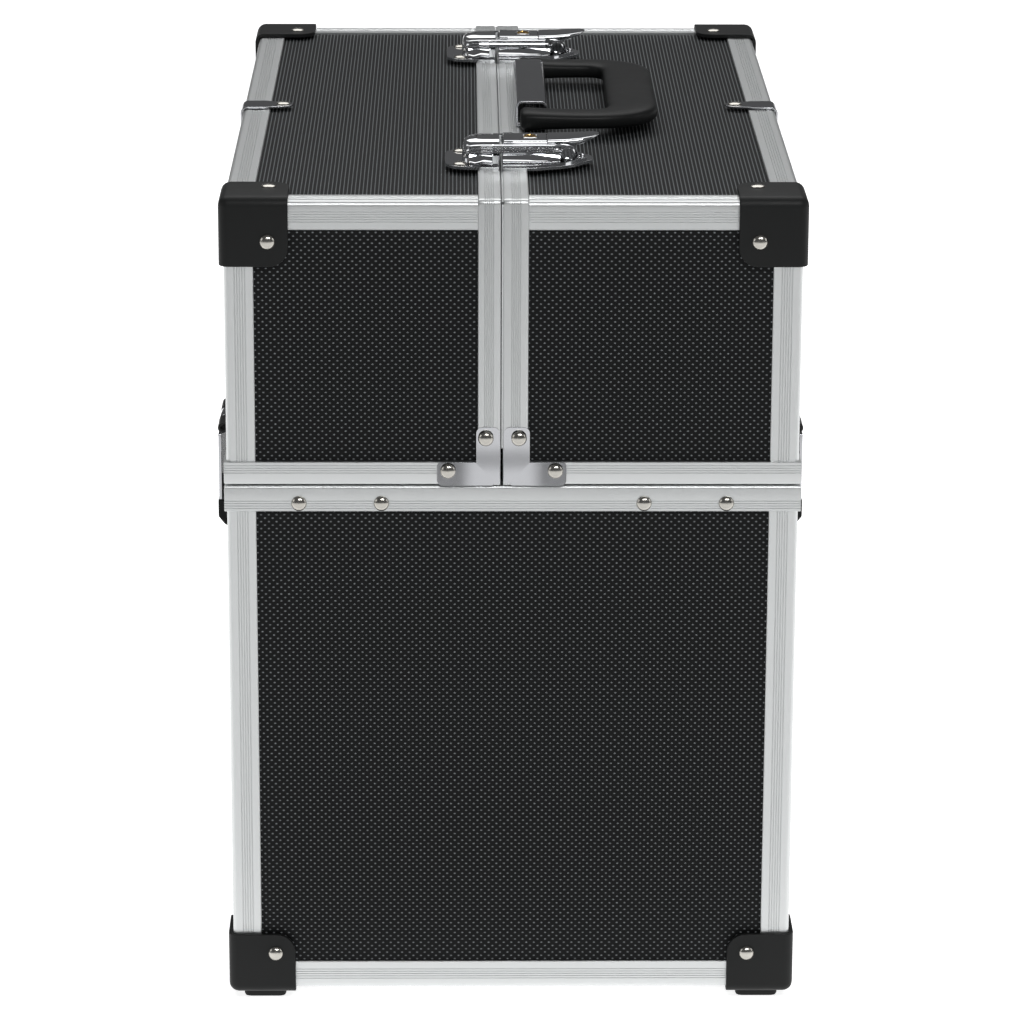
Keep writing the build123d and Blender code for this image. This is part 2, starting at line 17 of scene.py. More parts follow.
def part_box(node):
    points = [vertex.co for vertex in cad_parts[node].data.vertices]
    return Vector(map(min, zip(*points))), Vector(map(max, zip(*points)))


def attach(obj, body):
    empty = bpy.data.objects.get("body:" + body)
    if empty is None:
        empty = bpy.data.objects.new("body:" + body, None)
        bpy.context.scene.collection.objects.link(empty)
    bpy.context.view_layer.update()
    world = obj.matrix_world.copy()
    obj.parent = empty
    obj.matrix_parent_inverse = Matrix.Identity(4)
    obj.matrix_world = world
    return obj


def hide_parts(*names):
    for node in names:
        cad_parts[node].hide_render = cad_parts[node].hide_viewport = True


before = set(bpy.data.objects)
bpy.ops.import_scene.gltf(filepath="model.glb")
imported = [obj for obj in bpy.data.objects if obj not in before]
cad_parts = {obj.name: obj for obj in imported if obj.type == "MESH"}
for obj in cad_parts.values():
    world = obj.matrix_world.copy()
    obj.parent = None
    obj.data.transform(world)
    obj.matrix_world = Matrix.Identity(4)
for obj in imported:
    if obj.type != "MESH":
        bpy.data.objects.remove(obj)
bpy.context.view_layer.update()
MM = 0.001
SIDES = {"left": -1, "right": 1}
ENDS = {"near": -1, "far": 1}


# %% [markdown]
# ## Sizes from the frame
# A maker reads sizes off the drawing.  Here each one is read from the CAD nodes' boxes, in
# millimetres, so that the fine pieces land exactly on the plain ones that they stand for.


# %% Read the driving sizes
def box_mm(node):
    low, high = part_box(node)
    return [value / MM for value in low], [value / MM for value in high]


posts_high = box_mm("base_corner_posts")[1]
rails_low, rails_high = box_mm("base_rim_rails")
floor_low = box_mm("base_floor_edging")[0]
caps_high = box_mm("bottom_corner_caps")[1]
HALF_W, HALF_L = posts_high[0], posts_high[1]
BOTTOM = floor_low[2]
PROUD_W, PROUD_L = rails_high[0], rails_high[1]
RAIL_FOOT, BASE_RIM = rails_low[2], rails_high[2]
LID_RIM, TOP = box_mm("lid_left_edging")[0][2], box_mm("lid_left_edging")[1][2]
PROUD_TOP = box_mm("lid_left_centre_frame")[1][2]
CAP_W, CAP_L = caps_high[0], caps_high[1]
CAP_TOP = box_mm("lid_left_corner_caps")[1][2]
WALL, BOARD, FLANGE, LIP = 1.2, 3.2, 12.0, 1.0
LID_RAIL = 9.7
BOARD_W, BOARD_L, BOARD_TOP = HALF_W - WALL, HALF_L - WALL, TOP - WALL
print("case", 2 * HALF_W, 2 * HALF_L, TOP, "mm")


# %% [markdown]
# ## Two small helpers for materials
# Colours are written as the hex values that a paint chart gives.  Blender's shaders want linear
# light, so one function turns them.  A second adds any shader node with its settings and links.


# %% Material helpers
def linear(hex_colour):
    channels = [int(hex_colour[i:i + 2], 16) / 255 for i in (1, 3, 5)]
    return (*[c / 12.92 if c <= 0.04045 else ((c + 0.055) / 1.055) ** 2.4 for c in channels], 1.0)


def add_node(tree, kind, inputs=None, **settings):
    """Add a shader node; `inputs` are values or the output sockets that feed it."""
    made = tree.nodes.new("ShaderNode" + kind)
    for name, value in settings.items():
        setattr(made, name, value)
    for name, value in (inputs or {}).items():
        if isinstance(value, bpy.types.NodeSocket):
            tree.links.new(value, made.inputs[name])
        else:
            made.inputs[name].default_value = value
    return made


def new_material(name, hex_colour, roughness, metallic=0.0, **sockets):
    material = bpy.data.materials.new(name)
    material.use_nodes = True
    tree = material.node_tree
    shader = tree.nodes["Principled BSDF"]
    shader.inputs["Base Color"].default_value = linear(hex_colour)
    shader.inputs["Roughness"].default_value = roughness
    shader.inputs["Metallic"].default_value = metallic
    for socket, value in sockets.items():
        shader.inputs[socket.replace("_", " ")].default_value = value
    return material, tree, shader


def mix_colours(tree, factor, dark, light):
    """Blend two colours by a factor from 0 to 1 and return the colour socket."""
    mix = add_node(tree, "Mix", {0: factor}, data_type="RGBA")
    mix.inputs[6].default_value = linear(dark)
    mix.inputs[7].default_value = linear(light)
    return mix.outputs[2]


def spread(tree, socket, low, high):
    """Stretch a 0 to 1 value to the range low..high."""
    made = add_node(tree, "MapRange", {"Value": socket, "To Min": low, "To Max": high})
    return made.outputs["Result"]


def calc(tree, operation, first, second=0.0):
    made = add_node(tree, "Math", {0: first, 1: second}, operation=operation)
    return made.outputs[0]


# %% [markdown]
# ## Embossed ABS skin
# The boards wear a thin black ABS sheet that was rolled against an engraved drum.  It leaves
# small oval pips in staggered rows: 3.2 mm apart along a row, rows 1.5 mm apart.  The pip tops
# are a little smoother than the dull ground, and they are painted lighter: a painted highlight.
# The rows are worked out from the surface's own position, so all boards share one pattern.  The
# tops are seen so flat that the pips there join into lines of painted highlight, 1.6 mm apart.


# %% Make the embossed ABS
PIP_PITCH = 3.2 * MM
ROW_PITCH = 1.5 * MM
PIP_HALF_LENGTH = 0.50
TOP_PIP_HALF_LENGTH = 0.28
PIP_HALF_HEIGHT = 0.36
TOP_PIP_HALF_HEIGHT = 1.25  # drawn taller on the tops, where the pips hide the ground behind them


def make_embossed_abs():
    material, tree, shader = new_material("abs_embossed_black", "#131415", 0.42,
                                          Specular_IOR_Level=0.15)
    place = add_node(tree, "TexCoord")
    at = add_node(tree, "SeparateXYZ", {0: place.outputs["Object"]}).outputs
    facing = add_node(tree, "SeparateXYZ", {0: place.outputs["Normal"]}).outputs
    is_side = calc(tree, "GREATER_THAN", calc(tree, "ABSOLUTE", facing["X"]), 0.5)
    is_top = calc(tree, "GREATER_THAN", calc(tree, "ABSOLUTE", facing["Z"]), 0.5)
    along = add_node(tree, "Mix", {0: is_side, 2: at["X"], 3: at["Y"]}).outputs[0]
    across = add_node(tree, "Mix", {0: is_top, 2: at["Z"], 3: at["Y"]}).outputs[0]
    row = calc(tree, "DIVIDE", across, ROW_PITCH)
    tall = spread(tree, is_top, PIP_HALF_HEIGHT, TOP_PIP_HALF_HEIGHT)
    wide = spread(tree, is_top, PIP_HALF_LENGTH * MM, TOP_PIP_HALF_LENGTH * MM)
    pitch = spread(tree, is_top, PIP_PITCH, PIP_PITCH / 2)
    odd_row = calc(tree, "FLOORED_MODULO", calc(tree, "FLOOR", row), 2.0)
    stagger = calc(tree, "MULTIPLY", odd_row, 0.5)
    front = calc(tree, "SUBTRACT", 1.0, is_top)
    step = calc(tree, "ADD", calc(tree, "DIVIDE", along, pitch),
                calc(tree, "MULTIPLY", stagger, front))
    u = calc(tree, "SUBTRACT", calc(tree, "FRACT", step), 0.5)
    v = calc(tree, "SUBTRACT", calc(tree, "FRACT", row), 0.5)
    u_near = calc(tree, "MULTIPLY", u, calc(tree, "DIVIDE", pitch, wide))
    u_far = calc(tree, "POWER", u_near, 2.0)
    v_size = calc(tree, "MULTIPLY", tall, MM / ROW_PITCH)
    v_far = calc(tree, "POWER", calc(tree, "DIVIDE", v, v_size), 2.0)
    far = calc(tree, "SQRT", calc(tree, "ADD", u_far, v_far))
    pip = add_node(tree, "MapRange", {"Value": far, "From Min": 1.35, "From Max": 0.25},
                   interpolation_type="SMOOTHSTEP").outputs["Result"]
    cloud = add_node(tree, "TexNoise", {"Vector": place.outputs["Object"], "Scale": 900.0})
    uneven = spread(tree, cloud.outputs["Fac"], 0.45, 1.25)
    # The pips are painted lighter than the ground: a painted highlight on every pip top, uneven
    # from pip to pip.
    painted_pip_highlight = calc(tree, "MULTIPLY", pip, uneven)
    colour = mix_colours(tree, painted_pip_highlight, "#0c0d0e", "#7d8183")
    tree.links.new(colour, shader.inputs["Base Color"])
    tree.links.new(spread(tree, pip, 0.55, 0.30), shader.inputs["Roughness"])
    bump = add_node(tree, "Bump", {"Height": pip, "Strength": 0.8, "Distance": 0.25 * MM})
    tree.links.new(bump.outputs["Normal"], shader.inputs["Normal"])
    return material


EMBOSSED_ABS = make_embossed_abs()
print("pips", PIP_PITCH, ROW_PITCH)


# %% [markdown]
# ## Anodised aluminium
# The edge profiles are extruded and anodised.  The die leaves very fine lines along the length,
# and the anodising makes the metal pale and satin.  The grooves are cut into the mesh itself, so
# the material only adds the faint streaks and cloudiness.


# %% Metals
def make_brushed(name, hex_colour, roughness, uneven, streak_mm, stretch, bump_mm=0.01):
    """A metal with cloudy roughness and streaks; `stretch` scales the pattern along X, Y, Z."""
    material, tree, shader = new_material(name, hex_colour, roughness, 1.0)
    place = add_node(tree, "TexCoord").outputs["Object"]
    scaled = add_node(tree, "Mapping", {"Vector": place, "Scale": stretch})
    streak = add_node(tree, "TexNoise", {"Vector": scaled.outputs[0], "Scale": 1 / (streak_mm * MM),
                                         "Detail": 3.0})
    rough = spread(tree, streak.outputs["Fac"], roughness - uneven, roughness + uneven)
    tree.links.new(rough, shader.inputs["Roughness"])
    bump = add_node(tree, "Bump", {"Height": streak.outputs["Fac"], "Strength": 0.3,
                                   "Distance": bump_mm * MM})
    tree.links.new(bump.outputs["Normal"], shader.inputs["Normal"])
    return material


ALUMINIUM = make_brushed("aluminium_anodised", "#d3d5d5", 0.42, 0.03, 3.0, (1.0, 1.0, 1.0), 0.004)
CHROME = make_brushed("steel_chrome_plated", "#d9dadc", 0.07, 0.03, 6.0, (1.0, 1.0, 1.0))
SHEET_STEEL = make_brushed("steel_sheet_plated", "#b9babd", 0.15, 0.04, 5.0, (1.0, 1.0, 1.0), 0.01)
NICKEL = make_brushed("rivet_nickel_plated", "#bdbab3", 0.20, 0.05, 1.5, (1.0, 1.0, 1.0))
ARM_STEEL = make_brushed("arm_steel_zinc", "#b4b7ba", 0.32, 0.08, 1.0, (0.2, 1.0, 1.0))
BRASS = make_brushed("lock_brass_turned", "#c4a468", 0.22, 0.06, 0.5, (1.0, 1.0, 1.0))


# %% [markdown]
# ## Moulded plastics
# Corner protectors and handle are moulded in black ABS and polypropylene.  The mould was spark
# eroded, which gives a very fine even grain, dull but with a soft sheen on every rounded edge.
# The trays are a smoother black ABS.  The steel of the lid hinge leaves has a slight orange peel,
# and its near-black colour is painted shade.


# %% Make plastics and coatings
WEAR_SCALE = 60.0  # patches of wear about 17 mm across


def make_moulded(name, hex_colour, roughness, grain_mm, depth_mm):
    material, tree, shader = new_material(name, hex_colour, roughness, Specular_IOR_Level=0.18)
    place = add_node(tree, "TexCoord").outputs["Object"]
    grain = add_node(tree, "TexNoise", {"Vector": place, "Scale": 1 / (grain_mm * MM),
                                        "Detail": 2.0})
    wear = add_node(tree, "TexNoise", {"Vector": place, "Scale": WEAR_SCALE, "Detail": 4.0})
    rough = spread(tree, wear.outputs["Fac"], roughness - 0.08, roughness + 0.10)
    tree.links.new(rough, shader.inputs["Roughness"])
    bump = add_node(tree, "Bump", {"Height": grain.outputs["Fac"], "Strength": 0.35,
                                   "Distance": depth_mm * MM})
    tree.links.new(bump.outputs["Normal"], shader.inputs["Normal"])
    return material


CAP_PLASTIC = make_moulded("abs_moulded_black", "#1a1b1b", 0.46, 0.35, 0.05)
GRIP_PLASTIC = make_moulded("polypropylene_grip_black", "#151616", 0.44, 0.40, 0.06)
TRAY_PLASTIC = make_moulded("abs_tray_black", "#1d1e1f", 0.50, 0.6, 0.05)
# Near-black steel for the lid hinge leaves: the dark colour is painted shade for leaves seen in
# shadow and dark reflection.
DARK_STEEL_PAINTED_SHADE = make_moulded("steel_near_black_painted_shade", "#2a2b2b", 0.38, 0.8, 0.04)


# %% [markdown]
# ## Building meshes
# A piece is collected in one bmesh, in millimetres, and turned into an object at the end, when it
# is scaled to metres, its sharp edges are marked, and it rides on its CAD body.


# %% Mesh helpers
def rounded(corners, steps=6):
    """An outline from (x, y, radius) corners, with each corner turned by an arc."""
    outline = []
    count = len(corners)
    for i, (x, y, radius) in enumerate(corners):
        here = Vector((x, y))
        back = (Vector(corners[i - 1][:2]) - here).normalized()
        ahead = (Vector(corners[(i + 1) % count][:2]) - here).normalized()
        if radius <= 0:
            outline.append((x, y))
            continue
        half = back.angle(ahead) / 2
        centre = here + (back + ahead).normalized() * radius / math.sin(half)
        first = here + back * radius / math.tan(half) - centre
        last = here + ahead * radius / math.tan(half) - centre
        sweep = first.angle_signed(last)
        for k in range(steps + 1):
            turn = -sweep * k / steps
            outline.append((centre.x + first.x * math.cos(turn) - first.y * math.sin(turn),
                            centre.y + first.x * math.sin(turn) + first.y * math.cos(turn)))
    return outline


def both_sides(half):
    """An outline that is the same on both sides of its first axis, from its lower half."""
    return half + [(x, -y, radius) for x, y, radius in reversed(half)]


def skin_rings(bm, rings):
    """Join rings of 3-D points, one after another, into a tube with flat ends."""
    made = [[bm.verts.new(point) for point in ring] for ring in rings]
    for ring_a, ring_b in zip(made, made[1:]):
        for i in range(len(ring_a)):
            j = (i + 1) % len(ring_a)
            bm.faces.new((ring_a[i], ring_a[j], ring_b[j], ring_b[i]))
    bm.faces.new(reversed(made[0]))
    bm.faces.new(made[-1])


def plate(bm, outline, place, low, high):
    """A flat plate: `place(u, v, h)` puts the outline's point at height h in space."""
    skin_rings(bm, [[place(u, v, h) for u, v in outline] for h in (low, high)])


def lathe(bm, profile, centre, axis, segments=24):
    """Turn a profile of (radius, height) points about an axis through `centre`."""
    axis = Vector(axis).normalized()
    side = axis.orthogonal().normalized()
    other = axis.cross(side)
    rings = []
    for radius, height in profile:
        rings.append([Vector(centre) + axis * height
                      + (side * math.cos(a) + other * math.sin(a)) * max(radius, 0.001)
                      for a in (2 * math.pi * k / segments for k in range(segments))])
    skin_rings(bm, rings)


def finish_piece(name, bm, body, material, nodes=(), bevel=0.0, angle=32):
    """Scale the bmesh to metres, make it an object that rides on its body and stands for nodes."""
    bmesh.ops.remove_doubles(bm, verts=bm.verts, dist=0.0005)
    bmesh.ops.recalc_face_normals(bm, faces=bm.faces)
    bmesh.ops.scale(bm, vec=(MM, MM, MM), verts=bm.verts)
    mesh = bpy.data.meshes.new(name)
    for edge in bm.edges:
        edge.smooth = len(edge.link_faces) == 2 and edge.calc_face_angle(0) < math.radians(angle)
    for face in bm.faces:
        face.smooth = True
    bm.to_mesh(mesh)
    bm.free()
    piece = bpy.data.objects.new(name, mesh)
    bpy.context.scene.collection.objects.link(piece)
    mesh.materials.append(material)
    if bevel:
        softened = piece.modifiers.new("softened_edges", "BEVEL")
        softened.width = bevel * MM
        softened.segments = 2
        softened.limit_method = "ANGLE"
        softened.angle_limit = math.radians(40)
        softened.harden_normals = True
    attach(piece, body)
    if nodes:
        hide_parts(*nodes)
    print(name, len(mesh.polygons), "faces")
    return piece


# %% [markdown]
# ## Aluminium angles
# The angle is extruded through a die, so it is drawn here as a section and pulled along the edge.
# Its outer corner is rounded, and each leg has five fine grooves.  The section's two axes run
# from the corner along each leg, so one section serves every edge of the case.


# %% Angle section and its runs
GROOVE_DEPTH, GROOVE_WIDTH, GROOVE_PITCH = 0.28, 0.42, 1.05
GROOVES = 5
CORNER = 2.2


def grooved(start, count=GROOVES, pitch=GROOVE_PITCH):
    """(distance, depth) points of a row of grooves, from `start` outwards."""
    points = []
    for k in range(count):
        middle = start + k * pitch
        points += [(middle - GROOVE_WIDTH / 2, 0), (middle - GROOVE_WIDTH / 5, GROOVE_DEPTH),
                   (middle + GROOVE_WIDTH / 5, GROOVE_DEPTH), (middle + GROOVE_WIDTH / 2, 0)]
    return points


def angle_section():
    leg = grooved(4.4)
    first = [(FLANGE, 0.3), (FLANGE - 0.3, 0)] + list(reversed(leg))
    arc = [(CORNER - CORNER * math.sin(t), CORNER - CORNER * math.cos(t))
           for t in (math.pi / 2 * k / 6 for k in range(7))]
    second = [(depth, along) for along, depth in leg] + [(0, FLANGE - 0.3), (0.3, FLANGE)]
    return first + arc + second + [(WALL, FLANGE), (WALL, WALL), (FLANGE, WALL)]


ANGLE = angle_section()


def pull_angle(bm, corner, leg_a, leg_b, start, end):
    """Pull the angle along the edge through `corner`, from `start` to `end` on its own axis."""
    leg_a, leg_b = Vector(leg_a), Vector(leg_b)
    run = Vector([1 - abs(a) - abs(b) for a, b in zip(leg_a, leg_b)])
    rings = [[Vector(corner) + leg_a * a + leg_b * b + run * t for a, b in ANGLE]
             for t in (start, end)]
    skin_rings(bm, rings)


posts = bmesh.new()
for out in SIDES.values():
    for end in ENDS.values():
        pull_angle(posts, (out * HALF_W, end * HALF_L, 0), (-out, 0, 0), (0, -end, 0),
                   BOTTOM + FLANGE, RAIL_FOOT)
finish_piece("base_posts_grooved", posts, "base", ALUMINIUM, ["base_corner_posts"])

skirting = bmesh.new()
for end in ENDS.values():
    pull_angle(skirting, (0, end * HALF_L, BOTTOM), (0, -end, 0), (0, 0, 1), FLANGE - HALF_W,
               HALF_W - FLANGE)
for out in SIDES.values():
    pull_angle(skirting, (out * HALF_W, 0, BOTTOM), (-out, 0, 0), (0, 0, 1), FLANGE - HALF_L,
               HALF_L - FLANGE)
finish_piece("base_edging_grooved", skirting, "base", ALUMINIUM,
             ["base_floor_edging"])


# %% [markdown]
# ## Rim channels
# Round the mouths of base and lids runs a channel: a grooved outer face, a web over the board's
# edge and an inner lip.  Its lengths are mitred in the corners.  The section holds how far each
# point lies inside the outer face and how high it is, and each corner's place follows from that.


# %% Channel section and its runs
CHANNEL_DEPTH = PROUD_W - (BOARD_W - BOARD) + LIP


def channel_section(foot, rim):
    """Section of (inset, z), with the web at `rim` and open towards `foot`."""
    up = 1 if rim > foot else -1
    face = [(depth, foot + up * along) for along, depth in grooved(1.4, 4)]
    arc = [(1.2 - 1.2 * math.cos(t), rim - up * 1.2 + up * 1.2 * math.sin(t))
           for t in (math.pi / 2 * k / 4 for k in range(5))]
    outer = PROUD_W - BOARD_W
    inner = CHANNEL_DEPTH
    back = [(inner, rim), (inner, foot), (inner - LIP, foot), (inner - LIP, rim - up * LIP),
            (outer, rim - up * LIP), (outer, foot)]
    return [(0.3, foot), (0, foot + up * 0.3)] + face + arc + back


def pull_side_channel(bm, section, out):
    """One long side, mitred at both ends."""
    skin_rings(bm, [[(out * (PROUD_W - w), way * (PROUD_L - w), z) for w, z in section]
                    for way in (-1, 1)])


def pull_end_channel(bm, section, end, x_from, x_to, mitred_from=False):
    """One end, from x_from to x_to, always mitred at x_to."""
    sign = 1 if x_to > x_from else -1
    ring_from = [(x_from + sign * w * mitred_from, end * (PROUD_L - w), z) for w, z in section]
    ring_to = [(x_to - sign * w, end * (PROUD_L - w), z) for w, z in section]
    skin_rings(bm, [ring_from, ring_to])


base_channel = channel_section(RAIL_FOOT, BASE_RIM)
rim = bmesh.new()
for out in SIDES.values():
    pull_side_channel(rim, base_channel, out)
for end in ENDS.values():
    pull_end_channel(rim, base_channel, end, -PROUD_W, PROUD_W, mitred_from=True)
finish_piece("base_rim_channel", rim, "base", ALUMINIUM, ["base_rim_rails"])


# %% [markdown]
# ## The lids' edges
# Each lid has angles up its two outer corners and round its top, a channel round its mouth, and
# the centre channel.  That one runs up one end, over the top and down the other end in a single
# bent length, with a rounded bend, and laps over the angles that meet it.


# %% Lid edging and centre channel
def centre_section(middle, out, width):
    """Section of (x, height above the board), closed by the web at the lid's open edge."""
    thick = PROUD_L - BOARD_L
    grooves = [(middle + out * along, thick - depth)
               for along, depth in grooved(width * 0.34, 5, 0.85)]
    lip = -BOARD - LIP
    near, far = middle, middle + out * width
    return ([(near, lip), (near, thick - 0.8), (near + out * 0.25, thick - 0.25),
             (near + out * 0.8, thick)] + grooves
            + [(far - out * 0.8, thick), (far - out * 0.25, thick - 0.25), (far, thick - 0.8),
               (far, 0), (near + out * LIP, 0), (near + out * LIP, -BOARD), (far, -BOARD),
               (far, lip)])


def bend_over(bm, section, turns=8):
    """Pull a section up the near end, over the top and down the far end."""
    rings = [[(x, -(BOARD_L + n), LID_RIM) for x, n in section]]
    for way in (-1, 1):
        corner = []
        for k in range(turns + 1):
            tilt = math.pi / 2 * k / turns
            ring = []
            for x, n in section:
                if n > 0:
                    y, z = BOARD_L + n * math.cos(tilt), BOARD_TOP + n * math.sin(tilt)
                else:
                    y, z = BOARD_L + n, BOARD_TOP + n
                ring.append((x, way * y, z))
            corner.append(ring)
        rings += corner if way < 0 else reversed(corner)
    rings.append([(x, BOARD_L + n, LID_RIM) for x, n in section])
    skin_rings(bm, rings)


lid_channel = channel_section(LID_RIM + LID_RAIL, LID_RIM)
for side, out in SIDES.items():
    centre_low, centre_high = box_mm(f"lid_{side}_centre_frame")
    middle = centre_high[0] if out < 0 else centre_low[0]
    width = centre_high[0] - centre_low[0]
    stop = middle + out * width
    body = f"lid_{side}"

    edging = bmesh.new()
    for end in ENDS.values():
        pull_angle(edging, (out * HALF_W, end * HALF_L, 0), (-out, 0, 0), (0, -end, 0),
                   LID_RIM + LID_RAIL, TOP - FLANGE)
        low, high = sorted((stop, out * (HALF_W - FLANGE)))
        pull_angle(edging, (0, end * HALF_L, TOP), (0, -end, 0), (0, 0, -1), low, high)
        pull_end_channel(edging, lid_channel, end, stop, out * PROUD_W)
    pull_angle(edging, (out * HALF_W, 0, TOP), (-out, 0, 0), (0, 0, -1), FLANGE - HALF_L,
               HALF_L - FLANGE)
    pull_side_channel(edging, lid_channel, out)
    finish_piece(f"lid_{side}_edging_grooved", edging, body, ALUMINIUM,
                 [f"lid_{side}_edging"])

    centre = bmesh.new()
    bend_over(centre, centre_section(middle, out, width))
    finish_piece(f"lid_{side}_centre_channel", centre, body, ALUMINIUM,
                 [f"lid_{side}_centre_frame"])


# %% [markdown]
# ## Corner protectors
# Each protector is a moulded shell over three faces.  The easy way is to start from a solid
# block, round its outer edges strongly and the corners of its free flanges a little, and then
# cut the case's own corner out of it.  What is left is a shell 2 mm thick.


# %% Model one protector and place it at every corner
OUTER_ROUND, FLANGE_ROUND = 4.2, 8.0
CAP_REACH_X, CAP_REACH_Y = 28.4, 29.0
FOOT_X, FOOT_HALF = 104.9, 8.9


def protector_block(low, high, outer):
    """A rounded block; `outer` tells, for each axis, which side of the block faces outwards."""
    bm = bmesh.new()
    bmesh.ops.create_cube(bm, size=1.0)
    for vert in bm.verts:
        vert.co = [low[i] if vert.co[i] < 0 else high[i] for i in range(3)]
    tip = Vector([high[i] if outer[i] > 0 else low[i] for i in range(3)])
    root = Vector([low[i] if outer[i] > 0 else high[i] for i in range(3)])

    def round_at(point, radius):
        edges = [e for e in bm.edges if any((v.co - point).length < 1e-4 for v in e.verts)]
        bmesh.ops.bevel(bm, geom=edges, offset=radius, segments=6, profile=0.5, affect="EDGES",
                        clamp_overlap=True)

    round_at(root, FLANGE_ROUND)
    round_at(tip, OUTER_ROUND)
    return bm


def object_from(bm, name):
    mesh = bpy.data.meshes.new(name)
    bm.to_mesh(mesh)
    bm.free()
    made = bpy.data.objects.new(name, mesh)
    bpy.context.scene.collection.objects.link(made)
    return made


def cut(target_bm, tool_bm):
    """The first bmesh with the second cut out of it, as a new bmesh."""
    target, tool = object_from(target_bm, "cut_target"), object_from(tool_bm, "cut_tool")
    action = target.modifiers.new("cut", "BOOLEAN")
    action.operation, action.object, action.solver = "DIFFERENCE", tool, "EXACT"
    bpy.context.view_layer.update()
    shown = target.evaluated_get(bpy.context.evaluated_depsgraph_get())
    result = bmesh.new()
    result.from_mesh(shown.to_mesh())
    for made in (target, tool):
        bpy.data.objects.remove(made)
    return result


def case_core():
    bm = bmesh.new()
    outline = rounded(both_sides([(-HALF_W, -HALF_L, CORNER), (HALF_W, -HALF_L, CORNER)]))
    plate(bm, outline, lambda u, v, h: (u, v, h), BOTTOM, TOP)
    return bm


def add_bmesh(target, source):
    mesh = bpy.data.meshes.new("joined")
    source.to_mesh(mesh)
    source.free()
    target.from_mesh(mesh)
    bpy.data.meshes.remove(mesh)


def protectors(signs_x, node, up, name, body):
    low, high = box_mm(node)
    z_low, z_high = low[2] if up > 0 else BOTTOM - (CAP_TOP - TOP), high[2]
    whole = bmesh.new()
    for out in signs_x:
        for end in ENDS.values():
            x = sorted((out * CAP_W, out * (CAP_W - CAP_REACH_X)))
            y = sorted((end * CAP_L, end * (CAP_L - CAP_REACH_Y)))
            shell = protector_block((x[0], y[0], z_low), (x[1], y[1], z_high), (out, end, up))
            add_bmesh(whole, cut(shell, case_core()))
            if up < 0:
                foot_x, foot_y = out * FOOT_X, end * (CAP_L - (CAP_W - FOOT_X))
                pad = rounded(both_sides([(-FOOT_HALF, -FOOT_HALF, 2),
                                          (FOOT_HALF, -FOOT_HALF, 2)]), 3)
                rings = []
                for z, size in ((z_low + 0.6, 1.0), (1.2, 1.0), (0.4, 0.96), (0.0, 0.88)):
                    rings.append([(foot_x + u * size, foot_y + v * size, z) for u, v in pad])
                skin_rings(whole, rings)
    finish_piece(name, whole, body, CAP_PLASTIC, [node], bevel=0.35)


protectors((-1, 1), "bottom_corner_caps", -1, "bottom_protectors", "base")
for side, out in SIDES.items():
    protectors((out,), f"lid_{side}_corner_caps", 1, f"lid_{side}_protectors", f"lid_{side}")


# %% [markdown]
# ## Rivets
# The case is put together with nickel plated rivets.  The head is a low dome with a thin rim,
# turned here as on a lathe.  The places come from the CAD rivets: each one is a separate small
# solid, so its middle and the way it faces can be read from its own vertices.


# %% Turn a head for every CAD rivet
HEAD = [(3.15, 0.0), (3.2, 0.25), (3.05, 0.55), (2.6, 1.05), (1.9, 1.48), (1.0, 1.74), (0.0, 1.8)]
HEAD_HEIGHT = {0: 0.25, 1: 1.0, 2: 0.6}  # the side rivets are set nearly flush, the top ones low


def loose_parts(node):
    """Vertex groups of the separate solids in a CAD node, in millimetres, in the mesh's order."""
    bm = bmesh.new()
    bm.from_mesh(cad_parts[node].data)
    bmesh.ops.remove_doubles(bm, verts=bm.verts, dist=1e-6)
    left, parts = set(bm.verts), []
    for first in bm.verts:
        if first not in left:
            continue
        left.remove(first)
        heap, part = [first], []
        while heap:
            vert = heap.pop()
            part.append(vert.co / MM)
            for edge in vert.link_edges:
                other = edge.other_vert(vert)
                if other in left:
                    left.remove(other)
                    heap.append(other)
        parts.append(part)
    bm.free()
    return parts


def rivet_heads(node, body, name):
    bm = bmesh.new()
    count = 0
    for part in loose_parts(node):
        low = Vector([min(p[i] for p in part) for i in range(3)])
        high = Vector([max(p[i] for p in part) for i in range(3)])
        size = high - low
        thin = min(range(3), key=lambda i: size[i])
        centre = (low + high) / 2
        wide_low = max((abs(p[thin] - low[thin]) < 0.01) * (p - centre).length for p in part)
        wide_high = max((abs(p[thin] - high[thin]) < 0.01) * (p - centre).length for p in part)
        way = 1 if wide_low > wide_high else -1
        axis = Vector([way if i == thin else 0 for i in range(3)])
        centre[thin] = low[thin] if way > 0 else high[thin]
        lathe(bm, [(r, h * HEAD_HEIGHT[thin]) for r, h in HEAD], centre, axis)
        count += 1
    finish_piece(name, bm, body, NICKEL, [node])
    print(name, count, "rivets")


rivet_heads("base_rivets", "base", "base_rivet_heads")
for side in SIDES:
    rivet_heads(f"lid_{side}_rivets", f"lid_{side}", f"lid_{side}_rivet_heads")


# %% [markdown]
# ## Corner brackets
# At the foot of each centre channel sits a bright bracket of folded sheet.  Its two arms overlap
# on a diagonal seam and the free ends are rounded.  Drawing the sheet in leaves its faces a
# little dished, so they carry a soft gradient instead of one flat tone.


# %% Fold the corner brackets
SEAM_STEP = 0.45
HOLLOW, DISH_START, DISH_LENGTH = 0.9, 3.0, 16
LEAN = 1.05


def upright_dish(_, v):
    """How far the upright arm is drawn in, from the corner up to its rivet."""
    rise = min(max((v - DISH_START) / DISH_LENGTH, 0), 1)
    return HOLLOW * rise * rise * (3 - 2 * rise)


def level_dish(u, v):
    """The level arm leans back towards its outer end."""
    reach = 0.3 + 0.7 * min(max((u - 9) / 8, 0), 1)
    return LEAN * reach * (v / LID_RAIL - 0.33)


